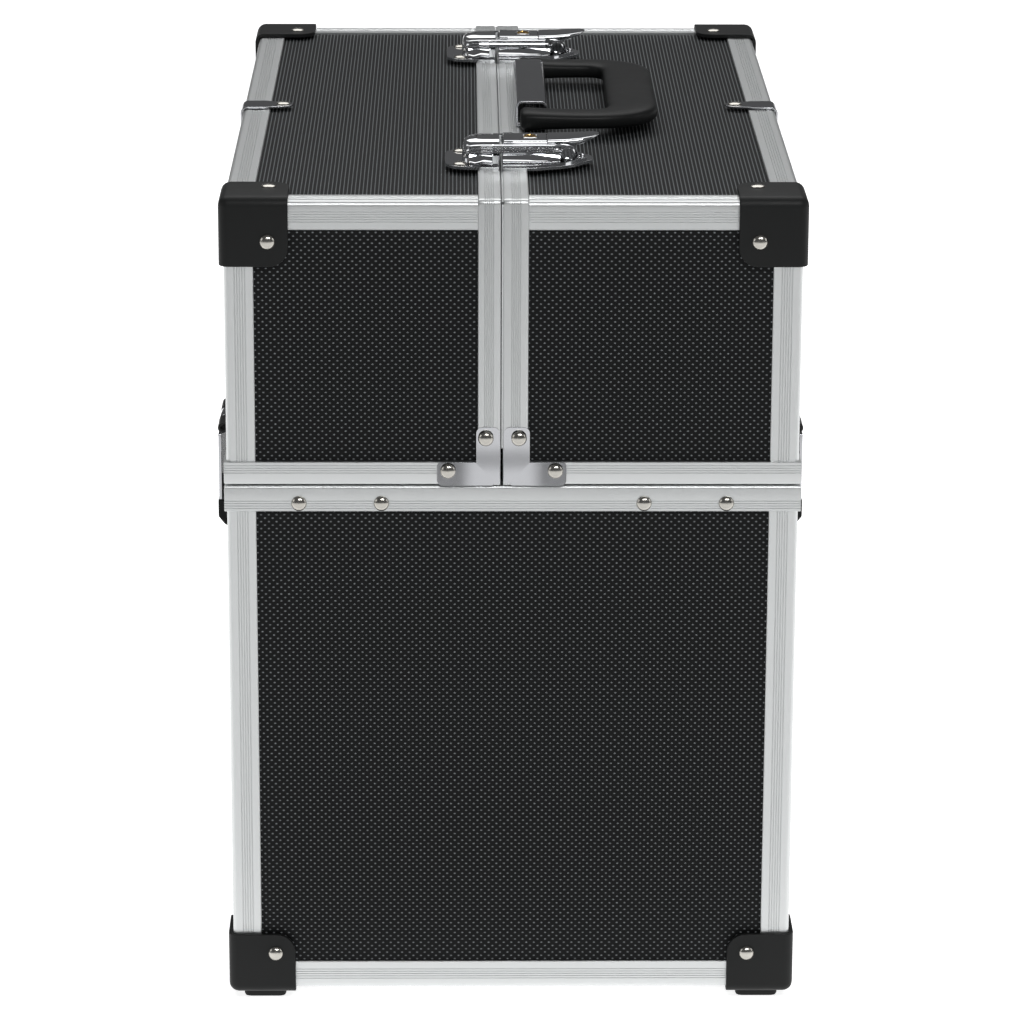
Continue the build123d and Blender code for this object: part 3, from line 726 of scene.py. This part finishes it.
def sheet_arm(bm, outline, place, low, high, dish, size):
    """A plate cut into 1 mm squares, so that its face can be dished."""
    part = bmesh.new()
    plate(part, outline, lambda u, v, h: (u, v, h), low, high)
    for axis, reach in enumerate(size):
        for k in range(1, int(reach) + 1):
            at = [k if i == axis else 0 for i in range(3)]
            way = [1 if i == axis else 0 for i in range(3)]
            bmesh.ops.bisect_plane(part, geom=part.verts[:] + part.edges[:] + part.faces[:],
                                   plane_co=at, plane_no=way)
    for vert in part.verts:
        u, v, h = vert.co
        vert.co = place(u, v, h - dish(u, v))
    add_bmesh(bm, part)


for side, out in SIDES.items():
    low, high = box_mm(f"lid_{side}_corner_brackets")
    centre_low, centre_high = box_mm(f"lid_{side}_centre_frame")
    middle = high[0] if out < 0 else low[0]
    arm = high[0] - low[0]
    width = centre_high[0] - centre_low[0] + 0.6
    rail = LID_RAIL
    tall = high[2] - LID_RIM
    bracket = bmesh.new()
    for end in ENDS.values():
        def on_end(u, v, h, end=end, out=out, middle=middle):
            return (middle + out * u, end * (PROUD_L + h), LID_RIM + v)

        level = rounded([(0.6, 0.0, 1.5), (arm, 0, 2.2), (arm, rail, 1.6), (width, rail, 0),
                         (width * 0.5, rail * 0.5, 0)])
        sheet_arm(bracket, level, on_end, 0.1, 0.8, level_dish, (arm, rail))
        upright = rounded([(0.4, 1.6, 1.2), (1.6, 0.4, 0), (width, rail, 0), (width, tall, 2.4),
                           (0.4, tall, 2.4)])
        sheet_arm(bracket, upright, on_end, 0.5, 0.8 + SEAM_STEP, upright_dish,
                  (width, tall))
    finish_piece(f"lid_{side}_folded_brackets", bracket, f"lid_{side}", SHEET_STEEL,
                 [f"lid_{side}_corner_brackets"], bevel=0.2, angle=40)


# %% The strip that closes the joint between the lids
joint = bmesh.new()
STRIP_X = (-4.8, -4.1)
JOINT_FOOT = LID_RIM + 15.5
for y0, y1, z0, z1 in ((-PROUD_L + 0.5, -PROUD_L + 1.6, JOINT_FOOT, BOARD_TOP),
                       (-PROUD_L + 1.6, PROUD_L - 1.6, PROUD_TOP - 1.6, PROUD_TOP - 0.5),
                       (PROUD_L - 1.6, PROUD_L - 0.5, JOINT_FOOT, BOARD_TOP)):
    plate(joint, [(y0, z0), (y1, z0), (y1, z1), (y0, z1)], lambda u, v, h: (h, u, v), *STRIP_X)
finish_piece("lid_right_joint_strip", joint, "lid_right", ALUMINIUM, bevel=0.1)


# %% [markdown]
# ## Edge clips
# Halfway along each top edge a steel strap wraps the edge and holds the board.  The strap is bent
# once round the edge, and each end swells into a round eye for its rivet.


# %% Bend the edge clips
CLIP_THICK, CLIP_BEND = 1.2, 3.0


def clip_outline(reach, half, eye):
    """Outline along the strap: straight sides, a slight neck and a round eye."""
    points = [(0, -half), (reach - 2.2 * eye, -half), (reach - 1.9 * eye, -half + 0.9)]
    for k in range(9):
        t = -math.pi / 2 + math.pi * k / 8
        points.append((reach - eye + eye * math.cos(t), eye * math.sin(t)))
    return points + [(reach - 1.9 * eye, half - 0.9), (reach - 2.2 * eye, half), (0, half)]


for side, out in SIDES.items():
    low, high = box_mm(f"lid_{side}_edge_clip")
    half = high[1]
    outer = high[0] if out > 0 else -low[0]
    inner = -high[0] if out < 0 else low[0]
    clip = bmesh.new()
    top_arm = clip_outline(outer - inner - CLIP_BEND, half, 5.4)
    plate(clip, top_arm, lambda u, v, h, o=out: (o * (outer - CLIP_BEND - u), v, TOP + h), 0.3,
          CLIP_THICK)
    side_arm = clip_outline(high[2] - CLIP_BEND - low[2], half, 5.4)
    plate(clip, side_arm, lambda u, v, h, o=out: (o * (HALF_W + h), v, high[2] - CLIP_BEND - u),
          0.3, CLIP_THICK)
    ends = (CLIP_BEND, CLIP_BEND - CLIP_THICK + 0.3)
    bend = [[(out * (outer - CLIP_BEND + r * math.sin(t)), v, high[2] - CLIP_BEND + r * math.cos(t))
             for v in (-half, half) for r in (ends if v < 0 else reversed(ends))]
            for t in (math.pi / 2 * k / 6 for k in range(7))]
    skin_rings(clip, bend)
    finish_piece(f"lid_{side}_strap_clip", clip, f"lid_{side}", SHEET_STEEL,
                 [f"lid_{side}_edge_clip"], bevel=0.25)


# %% [markdown]
# ## Draw latches
# A chrome latch pulls the lids together: a catch with a boat-shaped cap sits on the left lid, and
# a base, a lever with the lock and a hook with ribbed side bars sit on the right one.  The parts
# are pressed from sheet and thickly plated, so every edge is soft and flashes in the light.


# %% Shapes shared by both latches
LATCH_Y = sum(box_mm("latch_lever_far")[i][1] for i in (0, 1)) / 2
CATCH_END = box_mm("lid_left_centre_frame")[1][0] - 0.4
SPLIT_RIGHT = box_mm("lid_right_centre_frame")[0][0]
catch_low, catch_high = box_mm("catch_plates")
base_high = box_mm("latch_bases")[1]
hook_low = box_mm("latch_hook_far")[0]
PLATE_TOP = PROUD_TOP + WALL
LATCH_TOP = catch_high[2]
PIVOT_X, PIVOT_Z = -1.5, LATCH_TOP - 2.4
HOOK_PIN_X, HOOK_PIN_Z = 22.0, PIVOT_Z
LOCK_X = 7.5
LEVER_HALF = 8.2
CATCH_FACE = -8.3
BAR_LOW = LATCH_TOP - 4.6
BAR = [(10.1, BAR_LOW), (12.9, BAR_LOW), (13.3, BAR_LOW + 0.5), (13.2, BAR_LOW + 1.0),
       (12.5, BAR_LOW + 1.25), (12.7, BAR_LOW + 1.7), (12.5, BAR_LOW + 2.2), (11.8, BAR_LOW + 2.4),
       (11.9, BAR_LOW + 2.8), (11.6, BAR_LOW + 3.3), (11.0, BAR_LOW + 3.55), (10.3, BAR_LOW + 3.5),
       (10.0, BAR_LOW + 3.0)]


def side_bar(bm, y, way, stations):
    """A ribbed bar pulled through (x, drop, inward) stations."""
    rings = []
    for x, drop, inward in stations:
        rings.append([(x, y + way * (across - inward), z - drop) for across, z in BAR])
    skin_rings(bm, rings)


def rounded_box_loft(bm, stations, y):
    """A soft bar along X from (x, half width, low, high) stations."""
    rings = []
    for x, half, low, high in stations:
        r = min(1.1, half * 0.6, (high - low) * 0.42)
        outline = rounded([(-half, low, r * 0.5), (half, low, r * 0.5), (half, high, r),
                           (-half, high, r)], 4)
        rings.append([(x, y + u, z) for u, z in outline])
    skin_rings(bm, rings)


def level_at(y):
    """Places a flat plate that lies level, centred on y."""
    return lambda u, v, h: (u, y + v, h)


def upright_at(y, way):
    """Places a plate that stands upright along X, `h` beside y."""
    return lambda u, v, h: (u, y + way * h, v)


def skirt(bm, y, way, stations):
    """The sloping side wall between a bar and its foot plate, through (x, foot y, foot z)."""
    rings = []
    for x, foot, lift in stations:
        rings.append([(x, y + way * foot, PLATE_TOP - 0.3 + lift),
                      (x, y + way * (foot + 0.3), PLATE_TOP + 0.5 + lift),
                      (x, y + way * (foot - 0.5), PLATE_TOP + 0.8 + lift),
                      (x, y + way * (0.6 * foot + 0.4 * 12.2), PLATE_TOP + 1.2 + lift),
                      (x, y + way * (0.25 * foot + 0.75 * 12.2), PLATE_TOP + 2.2 + lift),
                      (x, y + way * 12.2, PLATE_TOP + 3.6 + lift),
                      (x, y + way * 12.0, BAR_LOW - 0.6), (x, y + way * 11.6, BAR_LOW + 0.1),
                      (x, y + way * 10.6, BAR_LOW + 0.1), (x, y + way * 10.6, PLATE_TOP - 0.3)])
    skin_rings(bm, rings)


# %% The catch on the left lid
catches = bmesh.new()
for end in ENDS.values():
    y = end * LATCH_Y
    foot = rounded(both_sides([(catch_low[0], -16.6, 9.0), (-16.5, -18.0, 6.0),
                               (CATCH_END, -19.0, 0.8)]))
    plate(catches, foot, level_at(y), PROUD_TOP - 0.1, PLATE_TOP)
    cap = []
    for z, grow in ((PLATE_TOP - 0.2, 1.6), (BAR_LOW, 1.4), (LATCH_TOP - 2.2, 1.0),
                    (LATCH_TOP - 1.0, 0.2), (LATCH_TOP - 0.3, -1.2), (LATCH_TOP, -2.6)):
        outline = rounded(both_sides([(-19.5 - grow, -4.5 - grow, 4.5), (-13.0, -7.0 - grow, 8.0),
                                      (CATCH_END, -6.9 - grow, 0)]), 5)
        cap.append([(x, y + v, z) for x, v in outline])
    skin_rings(catches, cap)
    for way in (-1, 1):
        side_bar(catches, y, way, [(-20.6, 2.6, 3.4), (-20.0, 1.6, 2.2), (-18.4, 0.7, 1.1),
                                   (-16.0, 0.2, 0.3), (-13.0, 0.0, 0.0), (CATCH_FACE, 0.0, 0.0)])
        skirt(catches, y, way, [(-18.0, 13.6, 0.6), (-15.5, 15.4, 0.0), (-12.0, 16.0, 0.6),
                                (CATCH_FACE, 16.4, 0.0)])
        plate(catches, rounded([(CATCH_FACE, way * 10.8, 0), (CATCH_END, way * 10.8, 0),
                                (CATCH_END, way * 15.4, 0.5), (CATCH_FACE, way * 15.4, 0)]),
              level_at(y), PLATE_TOP - 0.2, BAR_LOW - 0.3)
finish_piece("latch_catches", catches, "lid_left", CHROME, ["catch_plates"],
             bevel=0.3)


# %% The base on the right lid
bases = bmesh.new()
for end in ENDS.values():
    y = end * LATCH_Y
    half = base_high[1] - LATCH_Y
    foot = rounded(both_sides([(SPLIT_RIGHT, -half, 1.0), (10.0, -half, 12.0),
                               (24.0, -half + 5.0, 14.0), (base_high[0], -3.5, 4.0)]))
    plate(bases, foot, level_at(y), PROUD_TOP - 0.1, PLATE_TOP)
    inner = rounded(both_sides([(SPLIT_RIGHT, -half + 1.6, 0.5), (10.0, -half + 1.8, 11.0),
                                (22.6, -half + 6.8, 12.0), (base_high[0] - 2.6, -3.2, 3.0)]))
    plate(bases, inner, level_at(y), PLATE_TOP - 0.1, PLATE_TOP + 0.9)
    for way in (-1, 1):
        skirt(bases, y, way, [(SPLIT_RIGHT + 0.2, 15.6, 0.9), (6.0, 15.6, 0.9), (14.0, 14.8, 0.9),
                              (20.0, 13.4, 0.9)])
        ear = rounded([(SPLIT_RIGHT, PLATE_TOP - 0.2, 0), (2.0, PLATE_TOP - 0.2, 0),
                       (1.6, LATCH_TOP - 0.3, 2.2), (SPLIT_RIGHT, LATCH_TOP - 0.3, 1.2)])
        plate(bases, ear, upright_at(y, way), 8.6, 9.7)
    lathe(bases, [(2.6, -0.1), (2.6, 0.6), (1.8, 1.1), (0, 1.1)], (28.0, y, PLATE_TOP + 0.8),
          (0, 0, 1), 20)
finish_piece("latch_bases_pressed", bases, "lid_right", CHROME, ["latch_bases"],
             bevel=0.3)


# %% Lever, hook and lock core of each latch
for place, end in ENDS.items():
    y = end * LATCH_Y
    low, high = LATCH_TOP - 4.0, LATCH_TOP
    lever = bmesh.new()
    rounded_box_loft(lever, [(-3.9, 7.6, low + 0.4, high - 0.4), (-3.4, LEVER_HALF, low, high),
                             (14.4, LEVER_HALF, low, high), (14.7, 7.7, low + 0.4, high - 0.5)], y)
    rounded_box_loft(lever, [(14.6, 7.9, low + 0.4, high - 0.1),
                             (15.0, LEVER_HALF, low + 0.2, high + 0.2),
                             (23.0, 8.0, low + 1.0, high + 0.4), (28.8, 7.2, low + 2.4, high + 0.8),
                             (33.6, 5.4, low + 4.0, high + 1.3), (35.8, 3.0, low + 5.0, high + 1.5),
                             (36.4, 1.4, low + 5.3, high + 1.55)], y)
    lathe(lever, [(1.3, -9.8), (1.3, 9.8)], (PIVOT_X, y, PIVOT_Z), (0, 1, 0), 20)
    seat = [(3.9, -0.2), (3.9, 0.15), (3.3, 0.3), (3.0, 0.1), (3.0, -0.3)]
    lathe(lever, seat, (LOCK_X, y, LATCH_TOP), (0, 0, 1), 28)
    for way in (-1, 1):
        lug = rounded([(18.6, BAR_LOW + 0.6, 0.6), (20.4, BAR_LOW + 0.6, 0.6),
                       (20.4, high - 1.6, 0.6), (18.6, high - 1.6, 0.6)])
        plate(lever, lug, upright_at(y, way), 7.4, 9.6)
    finish_piece(f"latch_lever_{place}_pressed", lever, f"latch_lever_{place}", CHROME,
                 [f"latch_lever_{place}"], bevel=0.12)

    hook = bmesh.new()
    for way in (-1, 1):
        side_bar(hook, y, way, [(hook_low[0], 0.0, 0.0), (18.0, 0.0, 0.0)])
        cheek = rounded([(17.6, BAR_LOW - 0.4, 0.8), (19.6, BAR_LOW - 2.4, 0.8),
                         (26.8, BAR_LOW - 2.2, 2.8), (27.4, LATCH_TOP - 1.4, 3.2),
                         (17.6, LATCH_TOP - 0.8, 0.8)])
        plate(hook, cheek, upright_at(y, way), 10.2, 11.4)
        lathe(hook, [(3.1, 0.0), (3.1, 1.0), (2.7, 1.4), (2.1, 1.4), (1.9, 0.7), (0, 0.7)],
              (23.2, y + way * 11.3, PIVOT_Z - 2.2), (0, way, 0), 28)
        lathe(hook, [(1.2, 0.0), (1.3, 1.6), (0.9, 2.2), (0, 2.3)],
              (18.7, y + way * 11.3, PIVOT_Z - 1.2), (0, way, 0), 16)
    lathe(hook, [(1.3, -11.0), (1.3, 11.0)], (HOOK_PIN_X, y, HOOK_PIN_Z), (0, 1, 0), 20)
    finish_piece(f"latch_hook_{place}_ribbed", hook, f"latch_hook_{place}", CHROME,
                 [f"latch_hook_{place}"], bevel=0.12)

    core = bmesh.new()
    lathe(core, [(2.8, -4.2), (2.8, 0.3), (2.5, 0.6), (1.9, 0.6), (1.75, 0.3), (0, 0.3)],
          (LOCK_X, y, LATCH_TOP), (0, 0, 1), 32)
    slit = bmesh.new()
    plate(slit, [(5.9, y - 0.35), (9.1, y - 0.35), (9.1, y + 0.35), (5.9, y + 0.35)],
          lambda u, v, h: (u, v, h), LATCH_TOP - 1.2, LATCH_TOP + 1)
    finish_piece(f"lock_core_{place}_keyway", cut(core, slit), f"lock_core_{place}", BRASS,
                 [f"lock_core_{place}"])


# %% [markdown]
# ## Handle
# The handle is one plastic moulding: two flat legs that turn on a steel rod, and a wider, fuller
# grip.  It is swept as a soft-cornered section along the handle's line; the section widens on
# its way round each corner.  The steel bracket over the rod is bowed a little in its middle.


# %% Sweep the handle
LEG_Y, GRIP_X, GRIP_Z, BEND = 54.2, 53.4, 356.2, 18.0
LEG_HALF, GRIP_HALF = 7.6, 11.0


def soft_section(half_wide, half_high, count=28, power=3.2):
    points = []
    for k in range(count):
        t = 2 * math.pi * k / count
        c, s = math.cos(t), math.sin(t)
        points.append((half_wide * math.copysign(abs(c) ** (2 / power), c),
                       half_high * math.copysign(abs(s) ** (2 / power), s)))
    return points


def handle_line():
    """(x, y, heading, half width, half height) stations from the near leg round to the far one."""
    tip = [(4.2, 0.45), (4.5, 0.74), (5.3, 0.92), (7.0, 1.0)]
    stations = [(x, -LEG_Y, 0.0, LEG_HALF * scale, 4.5 * scale) for x, scale in tip]
    for x, high in ((14.0, 4.1), (24.0, 3.7), (30.0, 3.6), (GRIP_X - BEND, 3.6)):
        stations.append((x, -LEG_Y, 0.0, LEG_HALF, high))
    for k in range(1, 11):
        t = math.pi / 2 * k / 10
        ease = (1 - math.cos(math.pi * k / 10)) / 2
        stations.append((GRIP_X - BEND + BEND * math.sin(t), -LEG_Y + BEND * (1 - math.cos(t)), t,
                         LEG_HALF + (GRIP_HALF - LEG_HALF) * ease, 3.6 + 0.5 * ease))
    for y in (-30.0, -20.0, -10.0, 0.0):
        swell = 0.25 * (1 - abs(y) / 36)
        stations.append((GRIP_X, y, math.pi / 2, GRIP_HALF, 4.1 + swell))
    mirrored = [(x, -y, math.pi - heading, wide, high) for x, y, heading, wide, high in
                reversed(stations[:-1])]
    return stations + mirrored


grip = bmesh.new()
handle_rings = []
for x, y, heading, wide, high in handle_line():
    across = Vector((math.sin(heading), -math.cos(heading), 0))
    handle_rings.append([Vector((x, y, GRIP_Z)) + across * u + Vector((0, 0, v))
                         for u, v in soft_section(wide, high)])
skin_rings(grip, handle_rings)
finish_piece("handle_moulded", grip, "handle", GRIP_PLASTIC, ["handle_grip"],
             angle=50)


# %% The bracket over the handle's rod
bracket_low, bracket_high = box_mm("handle_bracket")
BRACKET_BOW, COVER_FOOT, SHEET = 0.6, 352, 1.2
cover_top = bracket_high[2] - BRACKET_BOW
outer = rounded([(bracket_low[0], PROUD_TOP, 0), (bracket_low[0], cover_top, 2.4),
                 (bracket_high[0], cover_top, 2.4), (bracket_high[0], PROUD_TOP, 0)], 5)
inner = rounded([(bracket_high[0] - SHEET, PROUD_TOP, 0),
                 (bracket_high[0] - SHEET, cover_top - SHEET, 1.4),
                 (bracket_low[0] + SHEET, cover_top - SHEET, 1.4),
                 (bracket_low[0] + SHEET, PROUD_TOP, 0)], 5)
shell_section = outer + inner
cover = bmesh.new()
cover_rings = []
BRACKET_HALF = bracket_high[1]
for k in range(17):
    y = -BRACKET_HALF + 2 * BRACKET_HALF * k / 16
    bow = BRACKET_BOW * (1 - (y / BRACKET_HALF) ** 2)
    cover_rings.append([(x, y, z + bow * (z > COVER_FOOT)) for x, z in shell_section])
skin_rings(cover, cover_rings)
for end in ENDS.values():
    foot = rounded([(3.0, -9, 1.5), (15.2, -9, 1.5), (15.2, 0, 0), (3.0, 0, 0)], 3)
    plate(cover, [(u, end * (BRACKET_HALF - 1 + v * 0.9)) for u, v in foot],
          lambda u, v, h: (u, v, h), BOARD_TOP, 352.4)
finish_piece("handle_cover_bowed", cover, "lid_right", SHEET_STEEL,
             ["handle_bracket"], bevel=0.25)


# %% [markdown]
# ## Lid hinges
# Each hinge has a steel leaf on the lid that stands out over the pin, coloured near black as
# painted shade, a bright leaf that hangs from the pin, and a black end piece that fixes it to the
# base.


# %% Make the hinge leaves
pin_low, pin_high = box_mm("hinge_pins")
HINGE_PIN = (pin_high[2] - pin_low[2]) / 2
HINGE_X, HINGE_Z = pin_high[0] - HINGE_PIN, pin_high[2] - HINGE_PIN
HINGE_HALF = 20.0
HINGE_Y = pin_high[1] - HINGE_HALF
KNUCKLE_HALF = HINGE_HALF / 3
STRIP_FOOT = box_mm("hinge_base_leaves")[0][2]
END_FOOT = box_mm("hinge_end_caps")[0][2]


def leaf_plate(bm, out, y, outline, low, high):
    """A plate in the hinge's Y-Z plane between two distances from the case's middle."""
    plate(bm, outline, lambda u, v, h: (out * h, y + u, v), low, high)


hanging = bmesh.new()
end_pieces = bmesh.new()
for side, out in SIDES.items():
    upper = bmesh.new()
    for y in (-HINGE_Y, HINGE_Y):
        outline = rounded([(-HINGE_HALF, HINGE_Z + 0.8, 0), (HINGE_HALF, HINGE_Z + 0.8, 0),
                           (HINGE_HALF, HINGE_Z + 31, 5), (-HINGE_HALF, HINGE_Z + 31, 5)])
        leaf_plate(upper, out, y, outline, PROUD_W, PROUD_W + 1.5)
        ledge = rounded([(PROUD_W, HINGE_Z + 0.8, 0), (HINGE_X, HINGE_Z + 0.8, 0),
                         (HINGE_X, HINGE_Z + 2.1, 0), (PROUD_W, HINGE_Z + 3.2, 0)])
        plate(upper, ledge, lambda u, v, h, o=out, y=y: (o * u, y + h, v), -HINGE_HALF, HINGE_HALF)
        for span in ((-HINGE_HALF, -KNUCKLE_HALF - 0.2), (KNUCKLE_HALF + 0.2, HINGE_HALF)):
            lathe(upper, [(2.0, span[0]), (2.2, span[0] + 0.3), (2.2, span[1] - 0.3),
                          (2.0, span[1])],
                  (out * HINGE_X, y, HINGE_Z), (0, 1, 0), 24)
        strip = rounded([(-HINGE_HALF, STRIP_FOOT, 1), (HINGE_HALF, STRIP_FOOT, 1),
                         (HINGE_HALF, HINGE_Z - 2.5, 1), (KNUCKLE_HALF - 0.2, HINGE_Z - 2.5, 0),
                         (KNUCKLE_HALF - 0.2, HINGE_Z - 0.5, 0),
                         (0.2 - KNUCKLE_HALF, HINGE_Z - 0.5, 0),
                         (0.2 - KNUCKLE_HALF, HINGE_Z - 2.5, 0), (-HINGE_HALF, HINGE_Z - 2.5, 1)])
        leaf_plate(hanging, out, y, strip, HINGE_X + 0.6, HINGE_X + 2.0)
        lathe(hanging, [(2.0, 0.2 - KNUCKLE_HALF), (2.1, 0.5 - KNUCKLE_HALF),
                        (2.1, KNUCKLE_HALF - 0.5), (2.0, KNUCKLE_HALF - 0.2)],
              (out * HINGE_X, y, HINGE_Z), (0, 1, 0), 24)
        end_side = rounded([(BOARD_W, END_FOOT, 0), (123.0, END_FOOT, 2.4),
                            (126.1, END_FOOT + 4, 1.5), (126.1, STRIP_FOOT + 0.4, 0.8),
                            (BOARD_W, STRIP_FOOT + 0.4, 0)])
        plate(end_pieces, end_side, lambda u, v, h, o=out, y=y: (o * u, y + h, v),
              -HINGE_HALF, HINGE_HALF)
    # The lid leaves are coloured near black: painted shade.
    finish_piece(f"lid_{side}_hinge_leaves_painted_shade", upper, f"lid_{side}", DARK_STEEL_PAINTED_SHADE,
                 [f"lid_{side}_hinge_leaves"], bevel=0.25)
finish_piece("hinge_hanging_leaves", hanging, "base", SHEET_STEEL,
             ["hinge_base_leaves"], bevel=0.25)
finish_piece("hinge_end_pieces", end_pieces, "base", CAP_PLASTIC,
             ["hinge_end_caps"], bevel=0.5)


# %% [markdown]
# ## Trays and arms
# The trays are vacuum-formed ABS: rounded corners, a rolled rim and slightly leaning walls.  The
# arms are zinc plated strips with rounded ends and a rivet head over every pivot.


# %% Form the trays
TRAY_HALF = 173.5

for side, out in SIDES.items():
    for level in ("lower", "upper"):
        node = f"tray_{side}_{level}"
        low, high = box_mm(node)
        tray = bmesh.new()
        profile = [(2.2, low[2], 4), (0.6, low[2] + 1.0, 5), (0.0, low[2] + 3.0, 6),
                   (0.0, high[2] - 2.2, 6), (0.0, high[2] - 0.6, 6), (0.5, high[2], 5.6),
                   (1.9, high[2], 4.6), (2.4, high[2] - 0.7, 4.4), (2.4, high[2] - 2.4, 4.4),
                   (1.7, high[2] - 3.2, 4.8), (1.8, low[2] + 4.0, 4.4), (3.2, low[2] + 2.0, 3.4)]
        rings = []
        for inset, z, r in profile:
            outline = rounded(both_sides([(low[0] + inset, inset - TRAY_HALF, r),
                                          (high[0] - inset, inset - TRAY_HALF, r)]))
            rings.append([(u, v, z) for u, v in outline])
        skin_rings(tray, rings)
        finish_piece(f"tray_{side}_{level}_formed", tray, node, TRAY_PLASTIC,
                     [node], angle=40)


# %% Finish the pieces that keep their CAD shape
CARRIED = {"panel": EMBOSSED_ABS, "arm_": ARM_STEEL, "tray_brackets": ARM_STEEL,
           "hinge_pins": CHROME, "handle_rod": CHROME}
for node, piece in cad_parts.items():
    for key, material in CARRIED.items():
        if key in node:
            piece.data.materials.clear()
            piece.data.materials.append(material)
print("plain nodes left", [n for n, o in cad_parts.items()
                           if not o.hide_render and not any(k in n for k in CARRIED)])


# %% [markdown]
# ## Studio
# A pale floor that glows white round the case and falls off in front of it, so that the upright
# metal mirrors a softer tone.  A large soft light hangs over the case and a little behind it, a
# narrow one stands in front, and weaker ones at the sides.
# The camera stands far back with a long lens, a little above the case, looking along it.


# %% Floor, lights and camera
scene = bpy.context.scene
scene.view_settings.view_transform = "Standard"
FLOOR_GLOW = (0.08, 0.44, 0.85)  # far in front, at middle distance, round the case
WORLD_LIGHT = 0.16

floor_mesh = bpy.data.meshes.new("studio_floor")
FLOOR = 12
floor_mesh.from_pydata([(-FLOOR, -FLOOR, 0), (FLOOR, -FLOOR, 0), (FLOOR, FLOOR, 0),
                        (-FLOOR, FLOOR, 0)], [], [(0, 1, 2, 3)])
floor = bpy.data.objects.new("studio_floor", floor_mesh)
scene.collection.objects.link(floor)
floor_material, floor_tree, floor_shader = new_material("floor_paper_white", "#f2f2f2", 0.9)
floor_shader.inputs["Emission Color"].default_value = linear("#ffffff")
floor_place = add_node(floor_tree, "TexCoord").outputs["Object"]
floor_y = add_node(floor_tree, "SeparateXYZ", {0: floor_place}).outputs["Y"]
near_range = {"Value": floor_y, "From Min": -0.36, "From Max": -0.22,
              "To Min": 0.0, "To Max": FLOOR_GLOW[2] - FLOOR_GLOW[1]}
near_glow = add_node(floor_tree, "MapRange", near_range, interpolation_type="SMOOTHSTEP")
front_range = {"Value": floor_y, "From Min": -2.2, "From Max": -1.3,
               "To Min": FLOOR_GLOW[0], "To Max": FLOOR_GLOW[1]}
front_glow = add_node(floor_tree, "MapRange", front_range, interpolation_type="SMOOTHSTEP")
glow = calc(floor_tree, "ADD", near_glow.outputs["Result"], front_glow.outputs["Result"])
floor_tree.links.new(glow, floor_shader.inputs["Emission Strength"])
floor.data.materials.append(floor_material)


def soft_light(name, place, size, power, aim=(0, 0, 0.2)):
    data = bpy.data.lights.new(name, "AREA")
    data.shape, data.size, data.size_y, data.energy = "RECTANGLE", size[0], size[1], power
    lamp = bpy.data.objects.new(name, data)
    scene.collection.objects.link(lamp)
    lamp.location = place
    lamp.rotation_mode = "QUATERNION"
    lamp.rotation_quaternion = (Vector(aim) - Vector(place)).to_track_quat("-Z", "Y")


soft_light("overhead_softbox", (0, 1.15, 2.3), (2.6, 2.1), 33)
soft_light("front_softbox", (0.5, -2.2, 2.2), (1.8, 0.55), 36)
soft_light("left_fill", (-2.6, -0.8, 1.2), (1.2, 1.2), 5)
soft_light("right_fill", (2.6, -0.4, 1.2), (1.2, 1.2), 6)

world = bpy.data.worlds.new("studio_air")
scene.world = world
world.use_nodes = True
world.node_tree.nodes["Background"].inputs["Color"].default_value = linear("#cfd0d2")
world.node_tree.nodes["Background"].inputs["Strength"].default_value = WORLD_LIGHT

PICTURE = 1024
FOCAL, CENTRE_X, CENTRE_Y = 4399.0, 512.0, 400.0
camera_data = bpy.data.cameras.new("catalogue_camera")
camera_data.sensor_width = 36.0
camera_data.lens = FOCAL / PICTURE * 36.0
camera_data.shift_x = (PICTURE / 2 - CENTRE_X) / PICTURE
camera_data.shift_y = (CENTRE_Y - PICTURE / 2) / PICTURE
camera_data.clip_end = 50.0
camera = bpy.data.objects.new("catalogue_camera", camera_data)
scene.collection.objects.link(camera)
scene.camera = camera
camera.location = (-0.0209, -1.918, 0.7609)
YAW, PITCH, ROLL = 0.675, 15.907, 0.199
turned = Matrix.Rotation(math.radians(-YAW), 3, "Z")
tipped = Matrix.Rotation(math.radians(90 - PITCH), 3, "X")
camera.rotation_euler = (turned @ tipped @ Matrix.Rotation(math.radians(ROLL), 3, "Z")).to_euler()
print("lens", round(camera_data.lens, 1), "mm")
